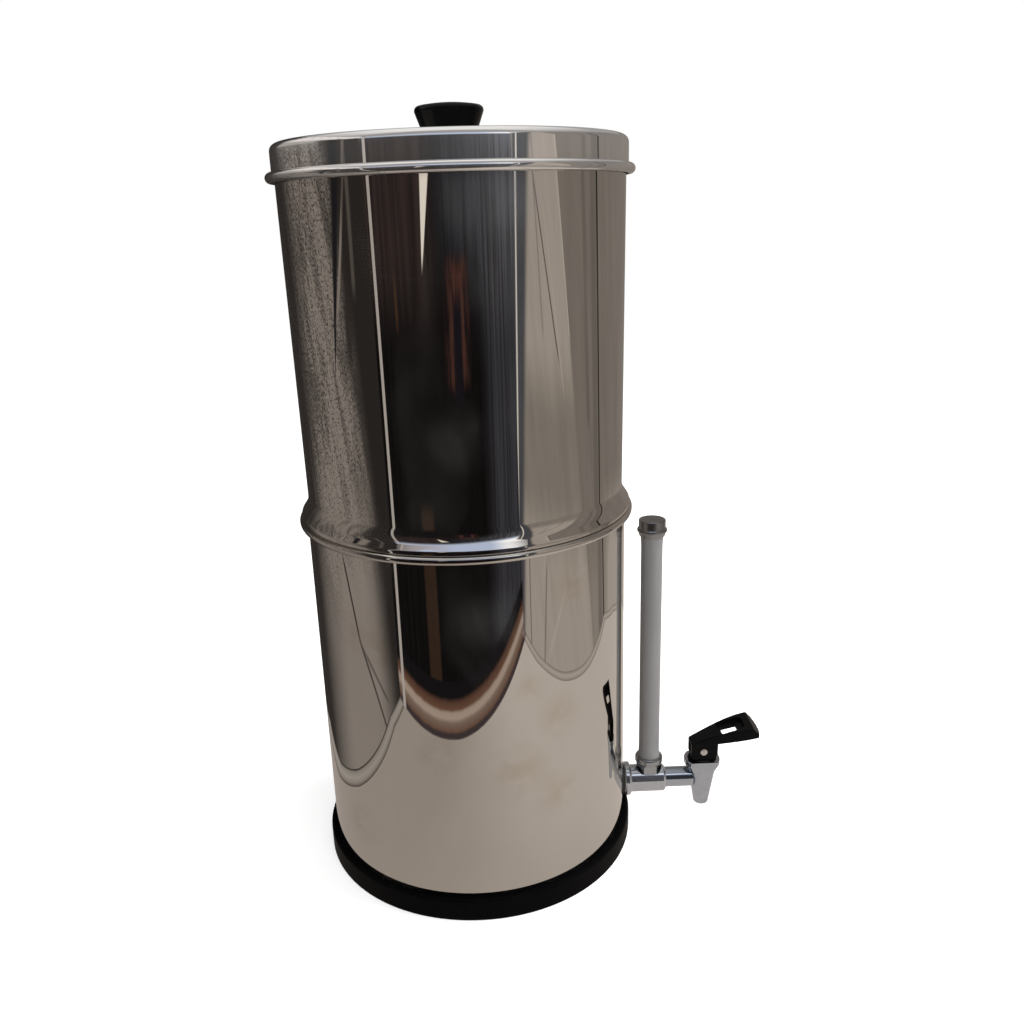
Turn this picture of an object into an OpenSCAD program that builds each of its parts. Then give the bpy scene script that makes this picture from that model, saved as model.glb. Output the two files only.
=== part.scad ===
// Gravity water filter with a press tap.
// Two steel chambers stand on each other. The upper one holds two ceramic filter candles, and
// the lower one collects the filtered water. A tap with a lever and a sight tube for the water
// level stand on a tee fitting low on the lower chamber.
// Millimetres. +Z is up, the origin is the centre of the base ring's underside, and the tap
// points along -Y. Pieces of the tap and the gauge are drawn pointing along +X, with X counted
// from the chamber's axis, and turned to the front by front().

/* [Lower chamber] */
// Outer radius of the lower chamber's wall
chamber_r = 108; // [95:1:135]
// Thickness of the steel sheet of chambers and lid
sheet = 0.8; // [0.5:0.1:1.1]
// Height of the lower chamber, from its bottom edge to the top of its rim
lower_h = 251.4; // [248:0.2:320]
// Inside radius of the lower chamber's bottom corner
bottom_corner = 4; // [2:0.5:8]
// Width of the flat ring that the lower chamber stands on
foot_w = 20; // [15:1:30]
// How far the middle of the floor is raised above that ring
kick_h = 6; // [5:0.5:10]
// How far the rolled rim stands out from the wall
rim_d = 5.2; // [4.8:0.1:6]
// Height of the rolled rim
rim_h = 5; // [4.9:0.1:8]
// Outer radius of the rolled rim's edges
rim_round = 2.4; // [1.8:0.1:2.4]

/* [Base ring] */
// Height of the base ring
ring_h = 16; // [10:0.5:16.3]
// Thickness of the base ring's wall
ring_wall = 4.2; // [2.5:0.1:6]
// Thickness of the ledge under the chamber
ledge_t = 3; // [2:0.5:5]
// How far the ledge reaches in under the chamber
ledge_w = 12; // [6:1:14]
// Radius of the base ring's upper outer edge
ring_round = 2; // [0.5:0.25:2.25]
// Gap between the base ring and the chamber's wall
ring_gap = 0.1; // [0.05:0.05:0.5]

/* [Upper chamber] */
// Height of the upper chamber above the joint, up to its lip
upper_h = 231.8; // [200:0.2:300]
// How much narrower the upper wall is at its foot than the lower wall
foot_taper = 1.7; // [1:0.1:2.4]
// How much wider the upper wall is at its top than at its foot
wall_flare = 2; // [0:0.1:4]
// How far the upper chamber reaches down into the lower one
nest_depth = 18; // [12:0.5:26]
// Gap between the nested bottom and the lower chamber's wall
nest_gap = 1.6; // [1.4:0.1:3]
// Inside radius of the nested bottom's corner
nest_corner = 3; // [2:0.5:6]
// Inside radius of the flare from the wall into the shoulder
shoulder_bend = 16; // [10:0.5:17]
// Steepness of the shoulder in degrees where the flare ends
shoulder_fall = 55; // [54:1:64]
// Inside radius of the bend from there into the shoulder's upright edge
shoulder_round = 1.6; // [1:0.2:2.2]
// Height of the upright edge between its bends
shoulder_face = 1; // [0.2:0.1:1.5]
// Inside radius of the fold under the shoulder's edge
shoulder_edge = 0.4; // [0.3:0.1:0.6]
// How far the shoulder's edge stays back from the rim's
shoulder_inset = 1.8; // [1.2:0.1:2]
// Outer radius of the turned-in top edge
lip_turn = 3.6; // [3.2:0.1:4]
// Width of the flat lip at the top
lip_w = 2.7; // [1.5:0.1:5]

/* [Lid] */
// Gap between the lid's skirt and the upper chamber
lid_gap = 0.5; // [0.4:0.1:1]
// Height of the lid's skirt, from the top to the hem
skirt_h = 22.2; // [18:0.2:30]
// Inside radius of the lid's edge
lid_corner = 3.7; // [3.2:0.1:3.9]
// Radius of the half-round bead at the foot of the skirt
bead_r = 3.1; // [2.4:0.1:3.6]
// How far the bead stands out from the skirt
bead_d = 4.1; // [3:0.1:5]

/* [Knob] */
// Radius of the knob at its widest
knob_r = 21.3; // [16:0.1:28]
// Radius of the knob's foot
knob_foot_r = 15.2; // [10:0.1:16]
// Height of the knob
knob_h = 22; // [18:0.5:30]
// Rise of the knob's domed top
knob_dome = 1.6; // [0.5:0.1:3]
// Radius of the knob's upper edge
knob_edge = 2.8; // [1.5:0.1:3.5]
// Radius of the knob's screw
screw_r = 2.5; // [2:0.1:3]
// Length of the knob's screw in the knob
screw_grip = 12; // [8:0.5:15]
// Radius of the screw's head
screw_head_r = 4.5; // [4:0.1:6]
// Height of the screw's head
screw_head_h = 2.8; // [2:0.1:4]
// Outer radius of the washer under the lid
washer_r = 7.5; // [6.5:0.1:10]
// Thickness of that washer
washer_t = 0.8; // [0.5:0.1:1.5]

/* [Filter candles] */
// Distance of each candle's axis from the middle
candle_offset = 48; // [42:1:56]
// Radius of the ceramic shell
candle_r = 24.5; // [20:0.5:30]
// Height of the ceramic shell
candle_h = 165; // [120:1:175]
// Wall of the ceramic shell
candle_wall = 8; // [5:0.5:10]
// Height of the shell's domed end
candle_dome = 15; // [10:0.5:20]
// Radius of the plastic base
candle_base_r = 27; // [25:0.5:34]
// Height of the plastic base
candle_base_h = 14; // [11:0.5:20]
// Depth that the shell sits in its base
candle_seat = 7; // [4:0.5:8]
// Radius of the threaded stem
stem_thread_r = 6; // [5:0.25:8]
// Length of the threaded stem below the base
stem_thread_len = 22; // [17:0.5:30]
// Radius of the water passage through the stem
stem_bore_r = 2.5; // [1.5:0.25:3]
// Thickness of the sealing washer on the floor
candle_seal_t = 2.4; // [1.5:0.1:4]
// Outer radius of the sealing washer
candle_seal_r = 15; // [11:0.5:20]
// Radius of the wing nut's hub
nut_hub_r = 9.5; // [9:0.5:12]
// Height of the wing nut's hub
nut_hub_h = 8; // [6:0.5:12]
// Distance from the stem's axis to the tip of a wing
nut_wing = 18; // [14:0.5:22]
// Thickness of a wing
nut_wing_t = 3; // [2:0.25:4]

/* [Tee fitting] */
// Height of the tap's pipe above the floor
tap_h = 30; // [30:0.5:60]
// Outer radius of the flange on the chamber's wall
flange_r = 12.5; // [12.5:0.1:13.6]
// Thickness of that flange
flange_t = 4.9; // [4:0.1:9]
// Radius of the flange's edges
flange_round = 1.6; // [0.5:0.1:1.9]
// Thickness of the seal outside the wall
outer_seal_t = 1.5; // [1.5:0.1:4]
// Thickness of the seal inside the wall
inner_seal_t = 3.4; // [2.5:0.1:5]
// Radius of both wall seals
wall_seal_r = 11.4; // [11:0.1:12.4]
// Outer radius of the tee's barrel
tee_r = 10.2; // [10.1:0.1:12.2]
// Length of the tee beyond the sight tube's axis
tee_tail = 12; // [12:0.1:20]
// Bevel at the barrel's outer end
tee_bevel = 1.5; // [0.5:0.1:2]
// Radius of the threaded shank through the wall
shank_r = 7.5; // [7:0.1:8.5]
// Length of the shank inside the chamber
shank_in = 14; // [11:0.5:20]
// Radius of the water passage in the tee
passage_r = 5; // [4:0.1:5.4]
// Size of the back nut across its flats
back_nut_af = 24; // [20:0.5:28]
// Thickness of the back nut
back_nut_t = 6; // [4:0.5:7]

/* [Level gauge] */
// Distance of the sight tube's axis from the tee's flange
gauge_set = 14.3; // [11:0.1:16]
// Outer radius of the sight tube
tube_r = 7.55; // [6.5:0.05:7.7]
// Wall of the sight tube
tube_wall = 1.8; // [1:0.1:2.5]
// Length of the sight tube
tube_len = 190.4; // [120:0.1:202]
// How much wider the tube's ends are
tube_flare = 0.55; // [0.05:0.05:0.75]
// Length over which each end widens
flare_len = 10; // [4:0.5:25]
// Height of the flat on the tee, above the pipe's axis
spot_h = 7; // [6.6:0.1:8]
// Size of the socket's hexagon across its flats
socket_af = 16.2; // [15.8:0.1:18]
// Height of the socket's hexagon
socket_hex_h = 7.4; // [6.7:0.1:11]
// Radius of the socket's threaded neck
neck_thread_r = 9.1; // [9:0.05:9.3]
// Radius of the socket's spigot in the tee
spigot_r = 5.6; // [5:0.1:6]
// Length of the socket's spigot
spigot_len = 6; // [4:0.25:7]
// Radius of the water passage in the socket
socket_bore_r = 3.4; // [2.5:0.1:4]
// Outer radius of the gland nut
gland_r = 10.3; // [10.1:0.1:11.4]
// Height of the gland nut
gland_h = 5.6; // [5:0.1:8]
// Thickness of the gland nut's lip over the seal
gland_lip_t = 1.4; // [1:0.1:1.8]
// Thickness of the ring seal round the tube
tube_seal_t = 1.4; // [1:0.1:1.8]
// Outer radius of the gauge cap's crown
cap_r = 9.4; // [9.2:0.1:10]
// Height of the gauge cap
cap_h = 11.8; // [9:0.1:16]
// Radius of the ring round the gauge cap
cap_ring_r = 10.5; // [10:0.1:13]
// Thickness of the gauge cap's crown
cap_crown_t = 2.4; // [1.5:0.1:4]
// Radius of the air hole in the crown
vent_r = 0.7; // [0.4:0.1:1.5]
// Running gap between the cap and the tube
cap_fit = 0.08; // [0.05:0.01:0.1]

/* [Tap] */
// Distance of the spout's axis from the tee's end
spout_set = 28.4; // [26:0.1:45]
// Outer radius of the tap's barrel
barrel_r = 7.5; // [6.8:0.1:8]
// Radius of the water passage in the barrel
barrel_bore_r = 4.5; // [3:0.1:4.8]
// Radius of the barrel's spigot in the tee
barrel_plug_r = 6.2; // [5.9:0.1:6.4]
// Thickness of the ring seal behind the barrel
barrel_seal_t = 1.2; // [0.8:0.1:2]
// Height of the spout's mouth above the floor
mouth_h = 8; // [3:0.5:12]
// Outer radius of the spout's mouth
mouth_r = 5.6; // [5:0.1:6]
// Radius of the spout's outlet
outlet_r = 3.8; // [3:0.1:4.2]
// Outer radius of the spout where the cup begins
spout_top_r = 9.9; // [9:0.1:10.5]
// Outer radius of the cup
cup_r = 13.4; // [12.8:0.1:15]
// Distance between the cup's flat sides
cup_flats = 18.6; // [18.2:0.1:21]
// Height of the cup's foot above the pipe's axis
cup_foot_h = 5.4; // [3:0.1:6]
// Height over which the cup widens
cup_slant_h = 6.8; // [4:0.1:8]
// Height of the cup's rim above the pipe's axis
cup_top_h = 16; // [15.5:0.1:20]
// Wall of the cup at its round ends
cup_wall = 2.8; // [2:0.1:3.4]
// Wall of the cup at its flat sides
cup_side_wall = 1.5; // [1.2:0.1:1.9]
// Depth of the cup
cup_depth = 6.5; // [5:0.1:7.5]
// Radius of the valve chamber
valve_r = 6.4; // [6:0.1:6.6]
// Height of the valve seat below the pipe's axis
seat_drop = 9; // [7:0.25:10]
// Thickness of the slip washer under the lever's heel
slip_t = 0.6; // [0.4:0.1:1.2]
// Height of the lever's heel above the cup's rim
heel_clear = 0.2; // [0.1:0.05:0.5]
// Depth that the guide reaches into the valve chamber
guide_plug = 2; // [1.5:0.1:4]
// Radius of the valve stem
rod_r = 2.8; // [2.2:0.1:2.9]
// Running gap between the stem and its guide
rod_fit = 0.08; // [0.05:0.01:0.1]
// Radius of the silicone valve seat
plug_r = 5.6; // [5:0.1:5.9]
// Height of the silicone valve seat
plug_h = 7.4; // [6:0.1:8]
// Diameter of the spring's wire
spring_wire = 0.9; // [0.6:0.1:1.2]
// Mean radius of the spring
spring_r = 4.1; // [3.8:0.1:4.6]
// Turns of the spring
spring_turns = 5; // [3:0.5:7]

/* [Lever] */
// Turn of the lever to the side, about the spout's axis
lever_aim = 0; // [0:1:30]
// Height of the lever's pin above its heel
heel_h = 7.7; // [7:0.1:9]
// How far the heel lifts the stem per radian of the lever's turn
heel_lift = 4; // [3:0.1:4.5]
// Largest turn of the lever in degrees
lever_turn = 30; // [20:1:34]
// Width of the lever's fork
fork_w = 13; // [12:0.1:14.4]
// Gap between the fork's cheeks
fork_gap = 6.2; // [6.1:0.1:7]
// Length of the fork behind the pin
fork_back = 9.3; // [7.5:0.1:9.5]
// Length of the fork ahead of the pin
fork_front = 10.7; // [9:0.1:11]
// Reach of the paddle's tip from the pin
paddle_reach = 36.2; // [30:0.2:50]
// Height of the paddle's tip above the pin
paddle_rise = 21.3; // [16:0.1:26]
// Height of the paddle's heel end above the pin
paddle_back_rise = 5.9; // [5:0.1:7]
// Arching of the paddle's top between its ends
paddle_arch = 2.2; // [1:0.1:3]
// Thickness of the paddle at its tip
paddle_t = 7.6; // [5:0.1:8]
// Height of the paddle's underside above the pin, at the fork
paddle_under = 7.6; // [6.8:0.1:8.4]
// Width of the paddle at its tip
paddle_w = 27.6; // [20:0.2:32]
// How far the underside of the paddle's tip stands out beyond its top
paddle_lean = 4.2; // [0:0.1:5]
// Bulge of the paddle's tip
paddle_bulge = 2.4; // [1:0.1:4]
// Length of the slot in the paddle
slot_len = 11.5; // [8:0.5:16]
// Width of the slot in the paddle
slot_w = 12; // [8:0.5:12]
// Distance from the pin to the slot
slot_start = 15; // [14:0.5:18]
// Depth of the hollow round the slot
hollow_depth = 2; // [1:0.1:2.4]
// Margin of the hollow beside the slot
hollow_margin = 2.4; // [1.5:0.1:3]
// Distance from the hollow to the paddle's tip
hollow_end = 4; // [3:0.5:6]
// Depth of the relief under the paddle
relief_depth = 2.2; // [1:0.1:2.5]
// Wall left at each side of the relief
relief_wall = 2.4; // [1.8:0.1:3]
// Radius of the lever's pin
pin_r = 1.5; // [1.2:0.1:1.8]
// Radius of the pin's heads
pin_head_r = 2.7; // [2.3:0.1:3.2]
// Thickness of the pin's heads
pin_head_t = 0.8; // [0.5:0.1:1]
// Running gap of the pin in the stem
pin_fit = 0.06; // [0.03:0.01:0.1]

/* [Hidden] */
$fn = 72;

// A cut runs this far past the surfaces that it opens
past = 1;
// Gap between a thread and the thread that it turns in
thread_gap = 0.05;
// Gap between a piece and the pocket that holds it still
pocket_gap = 0.05;
// Free gap between faces that pass each other
free_gap = 0.3;
// Steps of a quarter round in a turned outline
quarter = 5;

// Heights of the stack
chamber_in = chamber_r - sheet;
floor_top = ledge_t + sheet + kick_h;
joint_z = ledge_t + lower_h;
upper_floor_z = joint_z - nest_depth;
upper_floor_top = upper_floor_z + sheet;
lip_z = joint_z + upper_h;
lid_top = lip_z + sheet;

// Radii of the stack
rim_out = chamber_r + rim_d;
foot_wall_in = chamber_r - foot_taper - sheet;
top_wall_in = foot_wall_in + wall_flare;
nest_in = chamber_in - nest_gap - sheet;
ring_in = chamber_r + ring_gap;
ring_out = ring_in + ring_wall;
lid_in = top_wall_in + sheet + lid_gap;

// Candles, from the upper chamber's floor upwards
candle_base_z = upper_floor_top + candle_seal_t;
candle_shell_z = candle_base_z + candle_base_h - candle_seat;
stem_hole_r = stem_thread_r + free_gap;

// Tee, gauge and tap, along the pipe from the chamber's axis
flange_x = chamber_r + outer_seal_t;
tee_x = flange_x + flange_t;
gauge_x = tee_x + gauge_set;
tee_end = gauge_x + tee_tail;
shank_end = chamber_in - shank_in;
seal_in_x = chamber_in - inner_seal_t;
barrel_x = gauge_x + spigot_r + free_gap + barrel_seal_t;
spout_x = tee_end + spout_set;

// Gauge, upwards
socket_z = tap_h + spot_h;
socket_corner_r = socket_af / 2 / cos(30);
tube_z = socket_z + socket_hex_h;
gland_top = tube_z + gland_h;
neck_top = gland_top - gland_lip_t - tube_seal_t;
tube_top = tube_z + tube_len;
tube_end_r = tube_r + tube_flare;
cap_top = tube_top + cap_crown_t;

// Tap, upwards
seat_z = tap_h - seat_drop;
cup_foot_z = tap_h + cup_foot_h;
cup_rim_z = tap_h + cup_top_h;
cup_floor_z = cup_rim_z - cup_depth;
heel_z = cup_rim_z + heel_clear;
guide_z = heel_z - slip_t;
guide_foot_z = cup_floor_z - guide_plug;
seal_pocket_h = 0.9 * guide_plug;
seal_pocket_r = spring_r + spring_wire;
pin_z = heel_z + heel_h;
cup_in_r = cup_r - cup_wall;
cup_in_w = cup_flats - 2 * cup_side_wall;

// Foot of the valve stem, with its barb in the plug
barb_r = rod_r + 0.6;
barb_h = 1.5;
neck_r = 0.7 * rod_r;
neck_h = 2.4;
barb_z = seat_z + 2.2;
// Top of the valve stem above the pin, and the fork's roof above the pin
rod_over = pin_r + 1.9;
fork_roof = rod_over + 1.5;

// Points of an arc round a centre, from one angle to another
function arc(centre, r, from, to, steps = quarter) =
    [for (i = [0:steps]) let (a = from + (to - from) * i / steps)
        [centre[0] + r * cos(a), centre[1] + r * sin(a)]];

function unit(v) = v / norm(v);
// The normal on the right-hand side of the way from p to q
function right_of(p, q) = let (d = unit(q - p)) [d[1], -d[0]];
// A path shifted sideways by t, to the right for a positive t, with mitred corners
function shifted(path, t) =
    let (last = len(path) - 1)
    [for (i = [0:last])
        let (a = right_of(path[max(i - 1, 0)], path[max(i, 1)]),
             b = right_of(path[min(i, last - 1)], path[min(i + 1, last)]))
        path[i] + t * (a + b) / (1 + a * b)];
function backwards(path) = [for (i = [len(path) - 1:-1:0]) path[i]];

// A turned piece of sheet, with its path on one face and its thickness on the right
module spun_sheet(path, t)
    rotate_extrude() polygon(concat(path, backwards(shifted(path, t))));

// A turned ring with two rounded outer edges
module rounded_ring(r_in, r_out, h, edge)
    rotate_extrude()
        polygon(concat([[r_in, 0]],
                       arc([r_out - edge, edge], edge, -90, 0),
                       arc([r_out - edge, h - edge], edge, 0, 90),
                       [[r_in, h]]));

// A flat ring
module washer(r_in, r_out, h)
    difference() {
        cylinder(r = r_out, h = h);
        translate([0, 0, -past]) cylinder(r = r_in, h = h + 2 * past);
    }

module front() rotate([0, 0, -90]) children();
// Stands a piece drawn along +Z on the pipe's axis, at x, pointing away from the chamber
module on_pipe(x) translate([x, 0, tap_h]) rotate([0, 90, 0]) children();
module on_spout() translate([spout_x, 0, 0]) children();
module on_gauge() translate([gauge_x, 0, 0]) children();
// Places what turns with the lever: X ahead of the pin, and Z up from it
module on_pin() translate([spout_x, 0, pin_z]) rotate([0, 0, -lever_aim]) children();
// Draws in the lever's own plane: X ahead of the pin, Y up, and centred across the lever
module on_lever(width)
    on_pin() rotate([90, 0, 0]) linear_extrude(height = width, center = true) children();

// ---- Base and chambers ----

module base_ring()
    color("#1a1a1c")
    rotate_extrude()
        polygon(concat([[chamber_r - ledge_w, 0]],
                       arc([ring_out - ring_round / 2, ring_round / 2], ring_round / 2, -90, 0),
                       arc([ring_out - ring_round, ring_h - ring_round], ring_round, 0, 90),
                       [[ring_in, ring_h], [ring_in, ledge_t], [chamber_r - ledge_w, ledge_t]]));

// The inside face of the lower chamber, from the floor's middle to the end of the rolled rim
function lower_path() =
    let (rim_z = joint_z - rim_round,
         rim_low_z = joint_z - rim_h + rim_round,
         rim_x = rim_out - rim_round)
    concat([[0, floor_top], [chamber_r - foot_w - kick_h, floor_top],
            [chamber_r - foot_w, ledge_t + sheet]],
           arc([chamber_in - bottom_corner, ledge_t + sheet + bottom_corner],
               bottom_corner, -90, 0),
           arc([chamber_in + rim_round, rim_z], rim_round, 180, 90),
           arc([rim_x, rim_z], rim_round, 90, 0),
           arc([rim_x, rim_low_z], rim_round, 0, -90),
           [[chamber_r + free_gap, joint_z - rim_h]]);

module lower_chamber()
    color("#b9b4ae")
    difference() {
        spun_sheet(lower_path(), sheet);
        front() on_pipe(shank_end)
            cylinder(r = shank_r + free_gap, h = flange_x - shank_end);
    }

// The inside face of the upper chamber, from the floor's middle to the end of the lip
function upper_path() =
    let (edge_in = rim_out - shoulder_inset - sheet,
         shelf_z = joint_z + sheet,
         round_z = shelf_z + shoulder_edge + shoulder_face,
         tilt = 90 - shoulder_fall,
         bends = shoulder_round + shoulder_bend,
         slope_w = edge_in - foot_wall_in - bends * (1 - cos(tilt)),
         bend_z = round_z + bends * sin(tilt) + slope_w / tan(tilt),
         fold = sheet + 0.2,
         turn_r = lip_turn - sheet)
    concat([[0, upper_floor_top]],
           arc([nest_in - nest_corner, upper_floor_top + nest_corner], nest_corner, -90, 0),
           arc([nest_in + fold, shelf_z - fold], fold, 180, 90, 4),
           arc([edge_in - shoulder_edge, shelf_z + shoulder_edge], shoulder_edge, -90, 0),
           arc([edge_in - shoulder_round, round_z], shoulder_round, 0, tilt),
           arc([foot_wall_in + shoulder_bend, bend_z], shoulder_bend, 180 + tilt, 180),
           arc([top_wall_in - turn_r, lip_z - sheet - turn_r], turn_r, 0, 90),
           [[top_wall_in - turn_r - lip_w, lip_z - sheet]]);

module upper_chamber()
    color("#b3aea8")
    difference() {
        spun_sheet(upper_path(), sheet);
        for (side = [-1, 1])
            translate([side * candle_offset, 0, upper_floor_z - past])
                cylinder(r = stem_hole_r, h = sheet + 2 * past);
    }

// ---- Filter candles ----

module at_candle(side, z) translate([side * candle_offset, 0, z]) children();

// The domed outline of a candle, r wide and h high
function candle_outline(r, h, dome) =
    concat([[0, 0], [r, 0]],
           [for (a = [0:10:90]) [r * cos(a), h - dome + dome * sin(a)]]);

module candle_shell(side)
    color("#f2efe6")
    at_candle(side, candle_shell_z)
    difference() {
        rotate_extrude() polygon(candle_outline(candle_r, candle_h, candle_dome));
        translate([0, 0, -past])
            rotate_extrude()
                polygon(candle_outline(candle_r - candle_wall,
                                       candle_h - candle_wall + past,
                                       candle_dome * (1 - candle_wall / candle_r)));
    }

module candle_core(side)
    color("#2a2a2a")
    at_candle(side, candle_shell_z)
    rotate_extrude()
        polygon(candle_outline(candle_r - candle_wall - free_gap,
                               candle_h - candle_wall - free_gap,
                               candle_dome * (1 - candle_wall / candle_r)));

module candle_base(side)
    color("#e4e6e8")
    at_candle(side, candle_base_z)
    difference() {
        union() {
            rounded_ring(0, candle_base_r, candle_base_h, 1.5);
            translate([0, 0, -stem_thread_len])
                cylinder(r = stem_thread_r, h = stem_thread_len + past);
        }
        translate([0, 0, candle_base_h - candle_seat])
            cylinder(r = candle_r + pocket_gap, h = candle_seat + past);
        translate([0, 0, -stem_thread_len - past])
            cylinder(r = stem_bore_r, h = stem_thread_len + candle_base_h + past);
    }

module candle_seal(side)
    color("#d9d4c8")
    at_candle(side, upper_floor_top)
    washer(stem_thread_r + thread_gap, candle_seal_r, candle_seal_t);

module candle_nut(side)
    color("#e4e6e8")
    at_candle(side, upper_floor_z - nut_hub_h)
    difference() {
        union() {
            cylinder(r = nut_hub_r, h = nut_hub_h);
            for (turn = [0, 180])
                rotate([0, 0, turn]) translate([0, -nut_wing_t / 2, 0])
                    cube([nut_wing, nut_wing_t, nut_hub_h - nut_wing_t / 2]);
        }
        translate([0, 0, -past])
            cylinder(r = stem_thread_r + thread_gap, h = nut_hub_h + 2 * past);
    }

// ---- Lid and knob ----

// The outside face of the lid, from the middle of the top to the hem
function lid_path() =
    let (lid_out = lid_in + sheet,
         edge = lid_corner + sheet,
         bead_x = lid_out + bead_d - bead_r,
         reach = acos((lid_out - bead_x) / bead_r),
         bead_z = lid_top - skirt_h + bead_r * sin(reach))
    concat([[0, lid_top]],
           arc([lid_out - edge, lid_top - edge], edge, 90, 0),
           arc([bead_x, bead_z], bead_r, reach, -reach, 10));

module lid()
    color("#bcb8b2")
    difference() {
        spun_sheet(lid_path(), sheet);
        translate([0, 0, lip_z - past]) cylinder(r = screw_r + free_gap, h = sheet + 2 * past);
    }

module knob()
    color("#0e0e10")
    translate([0, 0, lid_top])
    difference() {
        rotate_extrude()
            polygon(concat([[0, 0], [knob_foot_r, 0]],
                           arc([knob_r - knob_edge, knob_h - knob_dome - knob_edge],
                               knob_edge, -20, 70, 6),
                           [for (i = [2:-1:0])
                               let (s = i / 3)
                               [(knob_r - knob_edge) * s,
                                knob_h - knob_dome * s * s]]));
        translate([0, 0, -past]) cylinder(r = screw_r, h = screw_grip + free_gap + past);
    }

module knob_screw()
    color("#c8c8c8")
    translate([0, 0, lip_z - washer_t]) {
        translate([0, 0, -screw_head_h]) rounded_ring(0, screw_head_r, screw_head_h, 0.8);
        cylinder(r = screw_r - thread_gap, h = washer_t + sheet + screw_grip);
    }

module knob_washer()
    color("#c8c8c8")
    translate([0, 0, lip_z - washer_t])
    washer(screw_r, washer_r, washer_t);

// ---- Tee fitting on the chamber's wall ----

module outer_seal()
    color("#e8e8e4")
    front()
    difference() {
        on_pipe(chamber_in) cylinder(r = wall_seal_r, h = flange_x - chamber_in);
        on_pipe(chamber_in - past)
            cylinder(r = shank_r + thread_gap, h = flange_x - chamber_in + 2 * past);
        cylinder(r = chamber_r, h = tap_h + 2 * wall_seal_r, $fn = 360);
    }

module inner_seal()
    color("#e8e8e4")
    front()
    difference() {
        intersection() {
            on_pipe(seal_in_x) cylinder(r = wall_seal_r, h = inner_seal_t);
            cylinder(r = chamber_in, h = tap_h + 2 * wall_seal_r, $fn = 360);
        }
        on_pipe(seal_in_x - past)
            cylinder(r = shank_r + thread_gap, h = inner_seal_t + 2 * past);
    }

module back_nut()
    color("#c9c9c9")
    front() on_pipe(seal_in_x - back_nut_t)
    difference() {
        cylinder(r = back_nut_af / 2 / cos(30), h = back_nut_t, $fn = 6);
        translate([0, 0, -past]) cylinder(r = shank_r + thread_gap, h = back_nut_t + 2 * past);
    }

module gauge_tee()
    color("#d2d2d4")
    front()
    difference() {
        union() {
            on_pipe(shank_end) cylinder(r = shank_r, h = flange_x - shank_end + past);
            on_pipe(flange_x) rounded_ring(0, flange_r, flange_t, flange_round);
            on_pipe(tee_x - past)
                let (len = tee_end - tee_x + past)
                rotate_extrude()
                    polygon([[0, 0], [tee_r, 0], [tee_r, len - tee_bevel],
                             [tee_r - tee_bevel, len], [0, len]]);
        }
        on_pipe(shank_end - past) cylinder(r = passage_r, h = barrel_x - shank_end);
        on_pipe(barrel_x - barrel_seal_t)
            cylinder(r = barrel_plug_r + pocket_gap, h = tee_end - barrel_x + barrel_seal_t + past);
        // Flat for the socket, and the hole for its spigot
        on_gauge() translate([0, 0, socket_z]) cylinder(r = socket_corner_r + free_gap, h = tee_r);
        on_gauge() translate([0, 0, tap_h]) cylinder(r = spigot_r + thread_gap, h = tee_r);
    }

// ---- Level gauge ----

module gauge_socket()
    color("#9c9c9c")
    front() on_gauge()
    difference() {
        union() {
            translate([0, 0, socket_z - spigot_len]) cylinder(r = spigot_r, h = spigot_len + past);
            translate([0, 0, socket_z]) cylinder(r = socket_corner_r, h = socket_hex_h, $fn = 6);
            translate([0, 0, tube_z - past])
                cylinder(r1 = tube_end_r, r2 = neck_thread_r, h = past);
            translate([0, 0, tube_z]) cylinder(r = neck_thread_r, h = neck_top - tube_z);
        }
        translate([0, 0, socket_z - spigot_len - past])
            cylinder(r = socket_bore_r, h = neck_top - socket_z + spigot_len);
        translate([0, 0, tube_z])
            cylinder(r = tube_end_r + pocket_gap, h = neck_top - tube_z + past);
    }

module gauge_nut()
    color("#a6a6a8")
    front() on_gauge() translate([0, 0, tube_z])
    difference() {
        rounded_ring(0, gland_r, gland_h, 1);
        translate([0, 0, -past])
            cylinder(r = neck_thread_r + thread_gap, h = gland_h - gland_lip_t + past);
        cylinder(r = tube_end_r + free_gap, h = gland_h + past);
    }

module gauge_seal()
    color("#3a3a3a")
    front() on_gauge() translate([0, 0, neck_top])
    washer(tube_end_r, neck_thread_r, tube_seal_t);

// Half of the way along the tube's outside: straight in its fitting, and then narrower
function tube_end(depth) =
    [for (i = [-1:5])
        let (s = max(i, 0) / 5)
        [tube_r + tube_flare * (1 - s) * (1 - s), i < 0 ? 0 : depth + flare_len * s]];

module gauge_tube()
    color("#a8a6a2", 0.7)
    front() on_gauge()
    difference() {
        rotate_extrude()
            polygon(concat([[0, tube_z]],
                           [for (p = tube_end(gland_h)) [p[0], tube_z + p[1]]],
                           [for (p = backwards(tube_end(cap_h - cap_crown_t)))
                               [p[0], tube_top - p[1]]],
                           [[0, tube_top]]));
        translate([0, 0, tube_z - past])
            cylinder(r = tube_r - tube_wall, h = tube_len + 2 * past);
    }

module gauge_cap()
    color("#6d6e72")
    front() on_gauge() translate([0, 0, cap_top - cap_h])
    let (ring = 1.7,
         ring_x = cap_ring_r - ring,
         ring_z = 2.4 + ring,
         end = acos((cap_r - ring_x) / ring))
    difference() {
        rotate_extrude()
            polygon(concat([[0, 0], [tube_end_r + 0.8, 0]],
                           arc([ring_x, ring_z], ring, -50, end, 8),
                           arc([cap_r - 1, cap_h - 1], 1, 0, 90),
                           [[0, cap_h]]));
        translate([0, 0, -past])
            cylinder(r = tube_end_r + cap_fit, h = cap_h - cap_crown_t + past);
        cylinder(r = vent_r, h = cap_h + past);
    }

// ---- Tap ----

// The cup's outline in plan: a round with two flat sides
module cup_plan(r, flats)
    intersection() {
        circle(r = r);
        square([2 * r + past, flats], center = true);
    }

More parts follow.
